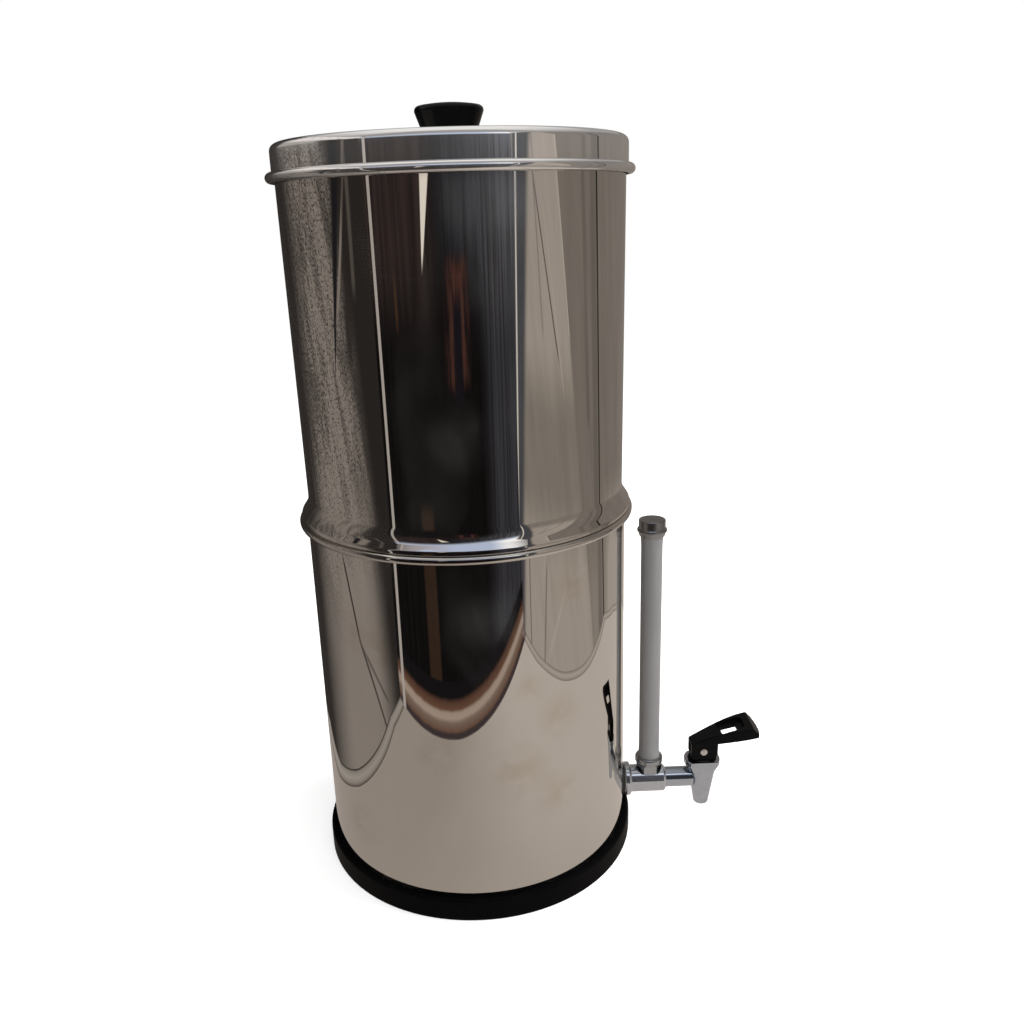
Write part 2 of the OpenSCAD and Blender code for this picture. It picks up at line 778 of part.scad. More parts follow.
module tap_body()
    color("#c4c4c6")
    front()
    difference() {
        union() {
            on_pipe(barrel_x) cylinder(r = barrel_plug_r, h = spout_x - barrel_x);
            on_pipe(tee_end) cylinder(r = barrel_r, h = spout_x - tee_end);
            on_spout() intersection() {
                rotate_extrude()
                    polygon(concat([[0, mouth_h]],
                                   arc([mouth_r - 0.9, mouth_h + 0.9], 0.9, -90, 0, 3),
                                   [[spout_top_r, cup_foot_z], [cup_r, cup_foot_z + cup_slant_h]],
                                   arc([cup_r - 0.8, cup_rim_z - 0.8], 0.8, 0, 90, 3),
                                   [[0, cup_rim_z]]));
                linear_extrude(height = cup_rim_z + past)
                    square([2 * cup_r + past, cup_flats], center = true);
            }
        }
        on_pipe(barrel_x - past) cylinder(r = barrel_bore_r, h = spout_x - barrel_x);
        on_spout() {
            translate([0, 0, mouth_h - past]) cylinder(r = outlet_r, h = seat_z - mouth_h + 2 * past);
            translate([0, 0, seat_z]) cylinder(r = valve_r, h = cup_rim_z - seat_z);
            translate([0, 0, cup_floor_z])
                linear_extrude(height = cup_depth + past) cup_plan(cup_in_r, cup_in_w);
        }
    }

module tap_seal()
    color("#3a3a3a")
    front() on_pipe(barrel_x - barrel_seal_t)
    washer(barrel_bore_r, barrel_plug_r, barrel_seal_t);

module stem_guide()
    color("#151517")
    front() on_spout()
    difference() {
        union() {
            translate([0, 0, cup_floor_z])
                linear_extrude(height = guide_z - cup_floor_z)
                    cup_plan(cup_in_r - pocket_gap, cup_in_w - 2 * pocket_gap);
            translate([0, 0, guide_foot_z])
                cylinder(r = valve_r - pocket_gap, h = guide_plug + past);
        }
        translate([0, 0, guide_foot_z - past])
            cylinder(r = rod_r + rod_fit, h = guide_z - guide_foot_z + 2 * past);
        translate([0, 0, guide_foot_z - past])
            cylinder(r = seal_pocket_r, h = seal_pocket_h + past);
    }

module stem_seal()
    color("#3a3a3a")
    front() on_spout() translate([0, 0, guide_foot_z])
    washer(rod_r + rod_fit, seal_pocket_r - pocket_gap, seal_pocket_h);

module slip_washer()
    color("#dcdcd8")
    front() on_spout() translate([0, 0, guide_z])
    washer(rod_r + rod_fit, cup_in_w / 2 - free_gap, slip_t);

// The stem's outline up to its top, with the barb and the neck that hold the plug
function stem_outline(top, edge) =
    concat([[0, barb_z], [barb_r, barb_z], [barb_r, barb_z + barb_h],
            [neck_r, barb_z + barb_h], [neck_r, barb_z + barb_h + neck_h],
            [rod_r, barb_z + barb_h + neck_h]],
           edge > 0 ? arc([rod_r - edge, top - edge], edge, 0, 90) : [[rod_r, top]],
           [[0, top]]);

module valve_stem()
    color("#c9c9cb")
    front()
    difference() {
        on_spout() rotate_extrude() polygon(stem_outline(pin_z + rod_over, 1.2));
        on_lever(2 * rod_r + 2 * past) circle(r = pin_r + pin_fit);
    }

module valve_plug()
    color("#d8d4c6")
    front() on_spout()
    difference() {
        translate([0, 0, seat_z]) rounded_ring(0, plug_r, plug_h, 0.8);
        rotate_extrude() polygon(stem_outline(seat_z + plug_h + past, 0));
    }

// A wire of round section wound round the Z axis, between two heights
module coil(r, wire, z_low, z_high, turns)
{
    sides = 8;
    per_turn = 16;
    rings = round(turns * per_turn);
    rise = z_high - z_low - wire;
    points = [for (i = [0:rings], j = [0:sides - 1])
        let (a = 360 * turns * i / rings, b = 360 * j / sides)
        [(r + wire / 2 * cos(b)) * cos(a), (r + wire / 2 * cos(b)) * sin(a),
         z_low + wire / 2 + rise * i / rings + wire / 2 * sin(b)]];
    faces = concat([[for (j = [0:sides - 1]) j]],
                   [for (i = [0:rings - 1], j = [0:sides - 1])
                       let (k = (j + 1) % sides)
                       [i * sides + j, (i + 1) * sides + j, (i + 1) * sides + k, i * sides + k]],
                   [[for (j = [sides - 1:-1:0]) rings * sides + j]]);
    polyhedron(points, faces, convexity = 6);
}

module valve_spring()
    color("#bcbcbc")
    front() on_spout()
    coil(spring_r, spring_wire, seat_z + plug_h, guide_foot_z, spring_turns);

// ---- Lever ----

// Heel of the lever. Its distance from the pin along the turned direction grows evenly with
// the turn, so that a flat under it lifts the pin by heel_lift for each radian.
function heel_path() =
    [for (i = [0:6])
        let (a = lever_turn * i / 6, h = heel_h + heel_lift * a * PI / 180)
        [h * sin(a) + heel_lift * cos(a), -h * cos(a) + heel_lift * sin(a)]];

// The underside of the paddle is a straight line. Its height at a distance from the pin:
paddle_slope = atan2(paddle_rise - paddle_t - paddle_under, paddle_reach - fork_front);
function paddle_low(x) = paddle_under + (x - fork_front) * tan(paddle_slope);

// The fork seen from its side, with the pin at the origin
function fork_side() =
    concat(heel_path(),
           [[fork_front, -2.5], [fork_front, paddle_low(fork_front) + 2],
            [-fork_back + 1, paddle_low(-fork_back) + 1.4],
            [-fork_back, paddle_low(-fork_back)],
            [-fork_back, -heel_h + 4]],
           [for (a = [200:20:260])
               [-heel_lift + (fork_back - heel_lift) * cos(a),
                -heel_h + 4 + 4 * sin(a)]],
           [[-heel_lift, -heel_h]]);

// The paddle seen from its side, with an arched top
function paddle_side() =
    let (back = [-fork_back, paddle_back_rise],
         tip = [paddle_reach - 1.4, paddle_rise],
         chord = tip - back,
         arch_r = (chord * chord) / (8 * paddle_arch) + paddle_arch / 2,
         up = [-chord[1], chord[0]] / norm(chord),
         centre = (back + tip) / 2 - up * (arch_r - paddle_arch),
         half = asin(norm(chord) / 2 / arch_r),
         mid = atan2(up[1], up[0]),
         end_x = paddle_reach + paddle_lean + 1)
    concat([[-fork_back, paddle_low(-fork_back)],
            [end_x - 0.6, paddle_low(end_x - 0.6)],
            [end_x, paddle_low(end_x) + 0.6],
            [paddle_reach + 0.6, paddle_rise - 1.8],
            [paddle_reach - 0.2, paddle_rise - 0.5]],
           arc(centre, arch_r, mid - half, mid + half, 8));

// The paddle seen from above, wider towards its tip
function paddle_plan() =
    let (half = paddle_w / 2,
         bulge_r = (half * half + paddle_bulge * paddle_bulge) / (2 * paddle_bulge),
         end = asin(half / bulge_r),
         tip_x = paddle_reach + paddle_lean + 1,
         wide_x = tip_x - paddle_bulge,
         side = [for (i = [0:6])
             let (s = i / 7)
             [-fork_back + s * (wide_x + fork_back),
              fork_w / 2 + (half - fork_w / 2) * s * s * (3 - 2 * s)]])
    concat([for (p = side) [p[0], -p[1]]],
           arc([tip_x - bulge_r, 0], bulge_r, -end, end, 8),
           backwards(side));

// A block with round corners that lies in the paddle, between two heights over its underside
module in_paddle(x, length, width, corner, low, high)
    on_pin() translate([x, 0, paddle_low(x)])
    rotate([0, -paddle_slope, 0])
    translate([0, 0, low])
    linear_extrude(height = high - low)
    union() {
        translate([corner, -width / 2]) square([length - 2 * corner, width]);
        translate([0, -width / 2 + corner]) square([length, width - 2 * corner]);
        for (cx = [corner, length - corner], cy = [-1, 1])
            translate([cx, cy * (width / 2 - corner)]) circle(r = corner);
    }

module lever()
    color("#101012")
    front()
    difference() {
        union() {
            on_lever(fork_w) polygon(fork_side());
            intersection() {
                on_lever(paddle_w + 2 * past) polygon(paddle_side());
                on_pin() linear_extrude(height = 2 * paddle_rise) polygon(paddle_plan());
            }
        }
        // Room for the stem between the cheeks
        on_lever(fork_gap)
            translate([-fork_back - past, -2 * heel_h])
                square([fork_back + fork_front + 2 * past, 2 * heel_h + fork_roof]);
        on_lever(paddle_w + 2 * past) circle(r = pin_r + thread_gap);
        // Slot, the hollow round it and the relief under the paddle
        in_paddle(slot_start, slot_len, slot_w, 2.5, -paddle_t, paddle_t * 2);
        in_paddle(slot_start - hollow_margin,
                  paddle_reach - hollow_end - slot_start + hollow_margin,
                  slot_w + 2 * hollow_margin, 4, paddle_t - hollow_depth, paddle_t * 2);
        in_paddle(slot_start - 2, paddle_reach - slot_start, slot_w + 2 * hollow_margin, 3,
                  -paddle_t, relief_depth);
    }

module lever_pin()
    color("#d8d8d8")
    front()
    on_pin() rotate([90, 0, 0]) {
        cylinder(r = pin_r, h = fork_w, center = true);
        for (side = [0, 180])
            rotate([side, 0, 0]) translate([0, 0, fork_w / 2])
                rounded_ring(0, pin_head_r, pin_head_t, pin_head_t / 2.5);
    }

base_ring();
lower_chamber();
outer_seal();
inner_seal();
back_nut();
gauge_tee();
gauge_socket();
gauge_nut();
gauge_seal();
gauge_tube();
gauge_cap();
tap_body();
tap_seal();
stem_guide();
stem_seal();
slip_washer();
valve_stem();
valve_plug();
valve_spring();
lever();
lever_pin();
upper_chamber();
candle_shell(-1);  // candle_shell_left
candle_shell(1);  // candle_shell_right
candle_core(-1);  // candle_core_left
candle_core(1);  // candle_core_right
candle_base(-1);  // candle_base_left
candle_base(1);  // candle_base_right
candle_seal(-1);  // candle_seal_left
candle_seal(1);  // candle_seal_right
candle_nut(-1);  // candle_nut_left
candle_nut(1);  // candle_nut_right
lid();
knob();
knob_screw();
knob_washer();
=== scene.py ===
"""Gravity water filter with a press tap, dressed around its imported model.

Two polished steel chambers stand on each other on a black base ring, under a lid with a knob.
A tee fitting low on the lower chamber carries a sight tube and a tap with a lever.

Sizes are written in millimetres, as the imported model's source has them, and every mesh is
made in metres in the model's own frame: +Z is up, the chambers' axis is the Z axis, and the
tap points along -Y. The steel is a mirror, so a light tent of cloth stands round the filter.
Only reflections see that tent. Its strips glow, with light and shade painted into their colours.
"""
from __future__ import annotations

import logging
import math
from dataclasses import dataclass
from enum import Enum
from functools import cached_property
from typing import Callable, Iterable, Mapping, Sequence

import bmesh
import bpy
import numpy as np
from mathutils import Euler, Matrix, Vector


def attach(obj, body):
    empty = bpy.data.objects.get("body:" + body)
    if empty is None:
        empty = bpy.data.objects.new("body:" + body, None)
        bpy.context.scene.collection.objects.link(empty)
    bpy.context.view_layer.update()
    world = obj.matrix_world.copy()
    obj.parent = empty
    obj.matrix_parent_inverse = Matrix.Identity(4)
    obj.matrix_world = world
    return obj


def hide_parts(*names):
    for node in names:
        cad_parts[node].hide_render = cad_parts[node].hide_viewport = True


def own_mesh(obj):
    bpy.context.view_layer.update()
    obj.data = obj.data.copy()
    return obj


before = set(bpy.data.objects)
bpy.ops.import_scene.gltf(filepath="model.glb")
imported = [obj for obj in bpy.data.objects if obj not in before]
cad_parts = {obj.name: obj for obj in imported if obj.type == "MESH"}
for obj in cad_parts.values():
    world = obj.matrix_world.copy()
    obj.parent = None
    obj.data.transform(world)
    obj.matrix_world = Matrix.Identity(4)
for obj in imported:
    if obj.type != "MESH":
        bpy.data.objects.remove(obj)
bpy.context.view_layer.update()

LOG = logging.getLogger("water_filter")
MM = 0.001
Array = np.ndarray
Piece = bpy.types.Object
Colour = Point = tuple[float, float, float]
Path = Sequence[Sequence[float]]


# ---- Shader sums ------------------------------------------------------------------------


def _operator(operation: str, swapped: bool = False) -> Callable[..., Signal]:
    """The method that puts a signal and another value through a Math node.

    Args:
        operation: the Math node's operation.
        swapped: whether the signal stands on the right.

    Returns:
        The method.
    """
    def apply(self: Signal, other: Signal | float) -> Signal:
        """Adds the node. A swapped method serves the signal on the right."""
        return self.math(operation, *((other, self) if swapped else (self, other)))
    return apply


class Signal:
    """An output of a node. Numbers can be added, multiplied and compared as in plain sums."""

    def __init__(self, recipe: Recipe, socket: bpy.types.NodeSocket) -> None:
        """Keeps the output and the recipe that it belongs to."""
        self.recipe, self.socket = recipe, socket

    def math(self, operation: str, *terms: Signal | float) -> Signal:
        """Adds a Math node on these terms and returns what it gives out."""
        return self.recipe.node("ShaderNodeMath", {"operation": operation},
                                dict(enumerate(terms)))

    __add__, __radd__ = _operator("ADD"), _operator("ADD", swapped=True)
    __sub__, __rsub__ = _operator("SUBTRACT"), _operator("SUBTRACT", swapped=True)
    __mul__, __rmul__ = _operator("MULTIPLY"), _operator("MULTIPLY", swapped=True)
    __truediv__, __gt__ = _operator("DIVIDE"), _operator("GREATER_THAN")

    def root(self) -> Signal:
        """The square root of this."""
        return self.math("SQRT", self)

    def size(self) -> Signal:
        """This without its sign."""
        return self.math("ABSOLUTE", self)

    def eased(self, low: float, high: float) -> Signal:
        """Rises smoothly from 0 at low to 1 at high, and falls if low is above high.

        Args:
            low: the value that gives 0.
            high: the value that gives 1.

        Returns:
            The share, from 0 to 1.
        """
        if low > high:
            return 1.0 - self.eased(high, low)
        return self.recipe.node(
            "ShaderNodeMapRange", {"interpolation_type": "SMOOTHSTEP"},
            {"Value": self, "From Min": low, "From Max": high, "To Min": 0.0, "To Max": 1.0})


class Recipe:
    """The node tree of one material or of the world, written step by step."""

    def __init__(self, owner: bpy.types.Material | bpy.types.World) -> None:
        """Starts an empty tree for a material or the world.

        Args:
            owner: whose tree is emptied and filled.
        """
        owner.use_nodes = True
        self.owner, self.tree = owner, owner.node_tree
        self.tree.nodes.clear()

    def node(self, kind: str, settings: Mapping[str, object] | None = None,
             inputs: Mapping[str | int, object] | None = None,
             out: str | int = 0) -> Signal:
        """Adds one node, sets it up, feeds it and returns one of its outputs.

        Args:
            kind: the node's type.
            settings: the node's own settings; "stops" are a ramp's (place, colour) pairs.
            inputs: values or signals for its sockets, by name or number.
            out: the name or number of the output to return.

        Returns:
            That output.
        """
        node = self.tree.nodes.new(kind)
        for name, value in (settings or {}).items():
            if name == "stops":
                ramp = node.color_ramp
                for index, (place, colour) in enumerate(value):
                    stop = (ramp.elements[index] if index < len(ramp.elements)
                            else ramp.elements.new(place))
                    stop.position = place
                    stop.color = (*colour, 1.0)
            else:
                setattr(node, name, value)
        for name, value in (inputs or {}).items():
            socket = node.inputs[name]
            if isinstance(value, Signal):
                self.tree.links.new(value.socket, socket)
            else:
                socket.default_value = value
        return Signal(self, node.outputs[out])

    def place(self, scale: Sequence[float] = (1.0, 1.0, 1.0),
              centre: Sequence[float] = (0.0, 0.0, 0.0)) -> Signal:
        """Object coordinates in metres, moved to a centre in millimetres and then scaled.

        Args:
            scale: how often a pattern repeats, compared with its own scale, along each axis.
            centre: the point that becomes the origin.

        Returns:
            The coordinates.
        """
        here = self.node("ShaderNodeTexCoord", out="Object")
        if any(centre):
            here = self.node("ShaderNodeVectorMath", {"operation": "SUBTRACT"},
                             {0: here, 1: tuple(MM * c for c in centre)})
        if tuple(scale) == (1.0, 1.0, 1.0):
            return here
        return self.node("ShaderNodeVectorMath", {"operation": "MULTIPLY"},
                         {0: here, 1: tuple(scale)})

    def noise(self, size: float, detail: float = 2.0, stretch: Sequence[float] = (1, 1, 1),
              centre: Sequence[float] = (0, 0, 0), rough: float = 0.5,
              swirl: float = 0.0) -> Signal:
        """Soft noise from 0 to 1.

        Args:
            size: the size of its spots in millimetres.
            detail: how many finer layers lie on it.
            stretch: how much longer the spots are along each axis.
            centre: a point in millimetres to count from.
            rough: the strength of the finer layers.
            swirl: how much the spots are twisted.

        Returns:
            The noise.
        """
        where = self.place([1.0 / s for s in stretch], centre)
        return self.texture(where, size, Detail=detail, Roughness=rough, Distortion=swirl)

    def texture(self, where: Signal, size: float, kind: str = "3D", **inputs: float) -> Signal:
        """A noise texture whose spots have this size in millimetres."""
        return self.node("ShaderNodeTexNoise", {"noise_dimensions": kind},
                         {"Vector": where, "Scale": 1.0 / (size * MM), **inputs})

    def parts(self, vector: Signal) -> tuple[Signal, ...]:
        """The three parts of a vector."""
        node = self.node("ShaderNodeSeparateXYZ", inputs={0: vector}).socket.node
        return tuple(Signal(self, output) for output in node.outputs)

    def rings(self, centre: Sequence[float], pitch: float, along: int = 2) -> Signal:
        """Uneven fine lines that run round an axis, as turning or grinding leaves them.

        The noise is read at the distance from the axis and at the height along it.

        Args:
            centre: a point of the axis, in millimetres.
            pitch: the lines' usual distance in millimetres.
            along: the number of the coordinate that the axis follows.

        Returns:
            The lines, from 0 to 1.
        """
        across = list(self.parts(self.place(centre=centre)))
        height = across.pop(along)
        distance = (across[0] * across[0] + across[1] * across[1]).root()
        where = self.node("ShaderNodeCombineXYZ",
                          inputs={0: distance, 1: height * 1.13, 2: 0.0})
        return self.texture(where, pitch, Detail=3.0, Roughness=0.6)

    def blend(self, share: Signal | float, first: Signal | Colour,
              second: Signal | Colour) -> Signal:
        """The first colour where share is 0, and the second where it is 1.

        Args:
            share: the second colour's share.
            first: the colour at 0.
            second: the colour at 1.

        Returns:
            The mixed colour.
        """
        ends = [c if isinstance(c, Signal) else (*c, 1.0) for c in (first, second)]
        return self.node("ShaderNodeMix", {"data_type": "RGBA"},
                         {0: share, 6: ends[0], 7: ends[1]}, out=2)

    def toned(self, share: Signal, colour: Colour, factor: float) -> Signal:
        """The colour, times a factor where the share is 1."""
        return self.blend(share, colour, tuple(factor * c for c in colour))

    def bump(self, height: Signal, depth: float) -> Signal:
        """A normal that follows a height from 0 to 1, so many millimetres deep."""
        return self.node("ShaderNodeBump", inputs={"Height": height, "Distance": depth * MM,
                                                   "Strength": 1.0})

    def spots(self, places: Iterable[Sequence[float]]) -> Signal:
        """Soft round spots on a surface.

        Args:
            places: the middle of each spot and its radius, in millimetres.

        Returns:
            1 in the middle of a spot, falling to 0 at its radius.
        """
        total: Signal | None = None
        for x, y, z, radius in places:
            away = self.node("ShaderNodeVectorMath", {"operation": "LENGTH"},
                             {0: self.place(centre=(x, y, z))}, out="Value")
            spot = away.eased(radius * MM, 0.0)
            total = spot if total is None else total + spot
        return total

    def finish(self, shader: Signal) -> None:
        """Ends the recipe with this shader.

        Args:
            shader: what the output takes.
        """
        kind = ("ShaderNodeOutputWorld" if isinstance(self.owner, bpy.types.World)
                else "ShaderNodeOutputMaterial")
        node = self.tree.nodes.new(kind)
        self.tree.links.new(shader.socket, node.inputs["Surface"])

    def principled(self, **inputs: Signal | float | Colour) -> None:
        """Ends the recipe with a Principled shader fed with these sockets.

        Args:
            inputs: the sockets' names in lower case with _ for a space, and their values.
        """
        named: dict[str | int, object] = {}
        for name, value in inputs.items():
            label = name.replace("_", " ").title().replace("Ior", "IOR")
            named[label] = (*value, 1.0) if isinstance(value, tuple) else value
        self.finish(self.node("ShaderNodeBsdfPrincipled", inputs=named))


# ---- Finishes ---------------------------------------------------------------------------


@dataclass(frozen=True)
class Finish:
    """What a surface is made of: its name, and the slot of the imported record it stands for."""

    name: str
    slot: str

    def write(self, recipe: Recipe) -> None:
        """Writes the material's nodes."""
        raise NotImplementedError

    def material(self) -> bpy.types.Material:
        """The material, made on its first use.

        Returns:
            The material.
        """
        made = bpy.data.materials.get(self.name)
        if made is None:
            made = bpy.data.materials.new(self.name)
            self.write(Recipe(made))
        return made


@dataclass(frozen=True)
class MirrorSteel(Finish):
    """Stainless sheet polished to a mirror, with haze, wipe marks and dried drops' stains.

    The sheet's slow waves are a soft noise a hundredth of a millimetre high. Haze is noise
    stretched down the wall, where a cloth has wiped. In a few smears a fog turns the mirror a
    little milky. Stains are soft spots of a warmer and darker tone, most of them in the marks.
    """

    colour: Colour = (0.665, 0.640, 0.600)
    stain: Colour = (0.555, 0.505, 0.430)
    milk: Colour = (0.42, 0.45, 0.52)
    film: float = 0.0
    rough: float = 0.020
    haze: float = 0.055
    waves: float = 0.012
    wave_size: float = 46.0
    marked: float = 0.62
    stained: float = 0.25
    fogged: float = 0.34
    smears: Path = ((-104, -28, 450, 40), (-102, -33, 404, 30), (-107, -3, 323, 26),
                    (-107, -13, 213, 26), (20, 105, 400, 50), (95, 40, 330, 55),
                    (60, -88, 180, 45))
    marks: Path = ((-106, 22, 121, 20), (-77, 76, 197, 18), (-85, -67, 227, 24),
                   (-92, -56, 139, 22), (-92, 56, 189, 26), (-101, -37, 162, 16),
                   (-104, -29, 107, 28), (-72, 80, 53, 24), (-93, -55, 84, 22),
                   (90, 60, 150, 26), (100, -30, 380, 24))

    def write(self, recipe: Recipe) -> None:
        """Writes the material's nodes.

        Args:
            recipe: the recipe to fill in.
        """
        smear = recipe.noise(34, 3, stretch=(1, 1, 2.2), swirl=0.6)
        wiped = recipe.noise(5, 2, stretch=(1, 1, 9.0))
        drops = recipe.noise(17, 2, stretch=(1, 1, 0.7), centre=(31, 17, 5))
        stains = recipe.spots(self.marks) * drops.eased(0.25, 0.65) * self.marked
        stains = stains + self.stained * drops.eased(0.60, 0.85) * smear.eased(0.42, 0.7)
        fog = self.fogged * recipe.spots(self.smears) * (0.1 + 1.1 * smear.eased(0.35, 0.75))
        haze = smear.eased(0.45, 0.8) * (0.6 + 0.4 * wiped)
        tone = recipe.blend(stains, self.colour, self.stain)
        tone = recipe.blend(fog, tone, self.milk)
        waves = recipe.noise(self.wave_size, 1, stretch=(1, 1, 2.6))
        recipe.principled(base_color=tone, normal=recipe.bump(waves, self.waves),
                          metallic=1.0 - self.film - 0.16 * fog - 0.02 * haze,
                          roughness=self.rough + self.haze * haze * haze + 0.03 * stains
                          + 0.10 * fog)


@dataclass(frozen=True)
class TurnedSteel(Finish):
    """Turned stainless fittings, from bright polished to satin ground.

    Fine lines run round the piece's own axis, and their depth and the shine vary a little.
    """

    colour: Colour = (0.70, 0.69, 0.68)
    rough: float = 0.16
    centre: Point = (0.0, 0.0, 0.0)
    along: int = 2
    pitch: float = 0.35
    depth: float = 0.0016
    cloudy: float = 0.06
    film: float = 0.0

    def write(self, recipe: Recipe) -> None:
        """Writes the material's nodes.

        Args:
            recipe: the recipe to fill in.
        """
        lines = recipe.rings(self.centre, self.pitch, self.along)
        cloud = recipe.noise(7, 3)
        tone = recipe.toned(cloud.eased(0.35, 0.75) * 0.5 + lines * 0.25, self.colour, 0.86)
        recipe.principled(base_color=tone, metallic=1.0 - self.film,
                          normal=recipe.bump(lines, self.depth),
                          roughness=self.rough + self.cloudy * (cloud - 0.5)
                          + 0.5 * self.cloudy * lines)


@dataclass(frozen=True)
class CastSteel(Finish):
    """Cast stainless, blasted and ground to an even satin, with a fine grain."""

    colour: Colour = (0.62, 0.62, 0.625)
    rough: float = 0.33
    grain: float = 0.30
    depth: float = 0.004

    def write(self, recipe: Recipe) -> None:
        """Writes the material's nodes.

        Args:
            recipe: the recipe to fill in.
        """
        grain = recipe.noise(self.grain, 2)
        cloud = recipe.noise(6, 3)
        tone = recipe.toned(cloud.eased(0.35, 0.75) * 0.6 + 0.25 * grain, self.colour, 0.88)
        recipe.principled(base_color=tone, metallic=1.0, normal=recipe.bump(grain, self.depth),
                          roughness=self.rough + 0.06 * (cloud - 0.5) + 0.04 * grain)


@dataclass(frozen=True)
class Moulded(Finish):
    """Moulded plastic or rubber: an even colour with the mould's grain and faint handling.

    The grain is noise as fine as the mould's etching. Handling polishes or dulls soft patches.
    """

    colour: Colour = (0.02, 0.02, 0.021)
    rough: float = 0.40
    grain: float = 0.28
    depth: float = 0.010
    patchy: float = 0.10
    dust: float = 0.006
    specular: float = 0.5

    def write(self, recipe: Recipe) -> None:
        """Writes the material's nodes.

        Args:
            recipe: the recipe to fill in.
        """
        grain = recipe.noise(self.grain, 2)
        handled = recipe.noise(9, 3, swirl=0.4)
        dusty = tuple(min(1.0, 1.12 * c + self.dust) for c in self.colour)
        tone = recipe.blend(handled.eased(0.4, 0.75) * 0.6 + 0.2 * grain, self.colour, dusty)
        recipe.principled(base_color=tone, normal=recipe.bump(grain, self.depth),
                          roughness=self.rough + self.patchy * (handled - 0.5) + 0.05 * grain,
                          specular_ior_level=self.specular)


@dataclass(frozen=True)
class MistedTube(Finish):
    """A clear tube with a satin surface, misted with water scale, so that it looks grey."""

    colour: Colour = (0.33, 0.325, 0.325)
    rough: float = 0.36
    centre: Point = (0.0, 0.0, 0.0)

    def write(self, recipe: Recipe) -> None:
        """Writes the material's nodes.

        Args:
            recipe: the recipe to fill in.
        """
        drawn = recipe.noise(1.6, 3, stretch=(1, 1, 40), centre=self.centre)
        scale = recipe.noise(11, 4, stretch=(1, 1, 2))
        tone = recipe.toned(0.4 * drawn + 0.3 * scale.eased(0.4, 0.7), self.colour, 0.90)
        recipe.principled(base_color=tone, normal=recipe.bump(drawn, 0.003),
                          roughness=self.rough + 0.08 * scale.eased(0.35, 0.75),
                          metallic=0.15, transmission_weight=0.12, ior=1.45)


@dataclass(frozen=True)
class Ceramic(Finish):
    """Unglazed filter ceramic with fine pores and a faint stain from the water."""

    colour: Colour = (0.86, 0.83, 0.76)

    def write(self, recipe: Recipe) -> None:
        """Writes the material's nodes.

        Args:
            recipe: the recipe to fill in.
        """
        pores = recipe.noise(0.5, 3, rough=0.7)
        stain = recipe.noise(22, 3, stretch=(1, 1, 1.8))
        tone = recipe.blend(stain.eased(0.4, 0.8) * 0.7, self.colour, (0.78, 0.72, 0.60))
        recipe.principled(base_color=tone, normal=recipe.bump(pores, 0.05),
                          roughness=0.78 + 0.12 * pores, specular_ior_level=0.3)


@dataclass(frozen=True)
class Carbon(Finish):
    """Pressed carbon granules."""

    def write(self, recipe: Recipe) -> None:
        """Writes the material's nodes.

        Args:
            recipe: the recipe to fill in.
        """
        grains = recipe.node("ShaderNodeTexVoronoi", inputs={
            "Vector": recipe.place(), "Scale": 1.0 / (1.1 * MM)}, out="Distance")
        tone = recipe.blend(grains.eased(0.2, 0.8), (0.020, 0.020, 0.021), (0.06, 0.06, 0.06))
        recipe.principled(base_color=tone, roughness=0.62 + 0.2 * grains,
                          normal=recipe.bump(grains, 0.3))


STEEL = MirrorSteel("steel_polished", "polished_steel")
# Painted light: the lid's steel is a lighter copy of the chamber steel, lightened where the lid's
# reflections look brighter.
LID_STEEL_LIGHTENED = MirrorSteel("steel_lid_lightened", "polished_steel", colour=(0.78, 0.765, 0.745),
                        film=0.05, haze=0.07, waves=0.010, smears=((30, 60, 500, 50),))
RUBBER = Moulded("rubber_black", "black_rubber", colour=(0.0018, 0.0017, 0.0021),
                 dust=0.001, rough=0.50, grain=0.45, depth=0.016, specular=0.04)
LEVER_PLASTIC = Moulded("plastic_black", "black_plastic", colour=(0.0022, 0.0022, 0.0026),
                        dust=0.001, rough=0.34, specular=0.09)
KNOB_PLASTIC = Moulded("plastic_gloss", "black_gloss", colour=(0.0010, 0.0010, 0.0012),
                       dust=0.0004, rough=0.12, grain=0.9, depth=0.002, patchy=0.06,
                       specular=0.12)
WHITE_PLASTIC = Moulded("plastic_white", "white_plastic", colour=(0.80, 0.81, 0.82),
                        rough=0.38, depth=0.008)
SILICONE = Moulded("silicone_milky", "silicone", colour=(0.74, 0.73, 0.70), rough=0.45,
                   depth=0.006)
SEAL_RUBBER = Moulded("rubber_seal", "dark_seal", colour=(0.03, 0.03, 0.03), rough=0.5)
CERAMIC = Ceramic("ceramic_filter", "candle_ceramic")
CARBON = Carbon("carbon_granules", "carbon")


# ---- Surfaces ---------------------------------------------------------------------------


def arc(centre: Sequence[float], radius: float, start: float, end: float,
        steps: int = 12) -> Array:
    """Points on an arc: the centre plus the radius times the cosine and sine of an angle.

    Args:
        centre: the arc's centre.
        radius: its radius.
        start: the first angle in degrees.
        end: the last angle in degrees.
        steps: the number of chords.

    Returns:
        An array of steps + 1 points.
    """
    turn = np.radians(np.linspace(start, end, steps + 1))
    return np.column_stack((centre[0] + radius * np.cos(turn),
                            centre[1] + radius * np.sin(turn)))


def line(*points: Sequence[float]) -> Array:
    """These points as an array."""
    return np.array(points, float)


def joined(*parts: Array) -> Array:
    """The parts one after another, with doubled points taken out.

    Args:
        parts: arrays of points.

    Returns:
        The points in one array.
    """
    points = np.concatenate(parts)
    step = np.linalg.norm(np.diff(points, axis=0), axis=1)
    return points[np.concatenate(([True], step > 1e-6))]


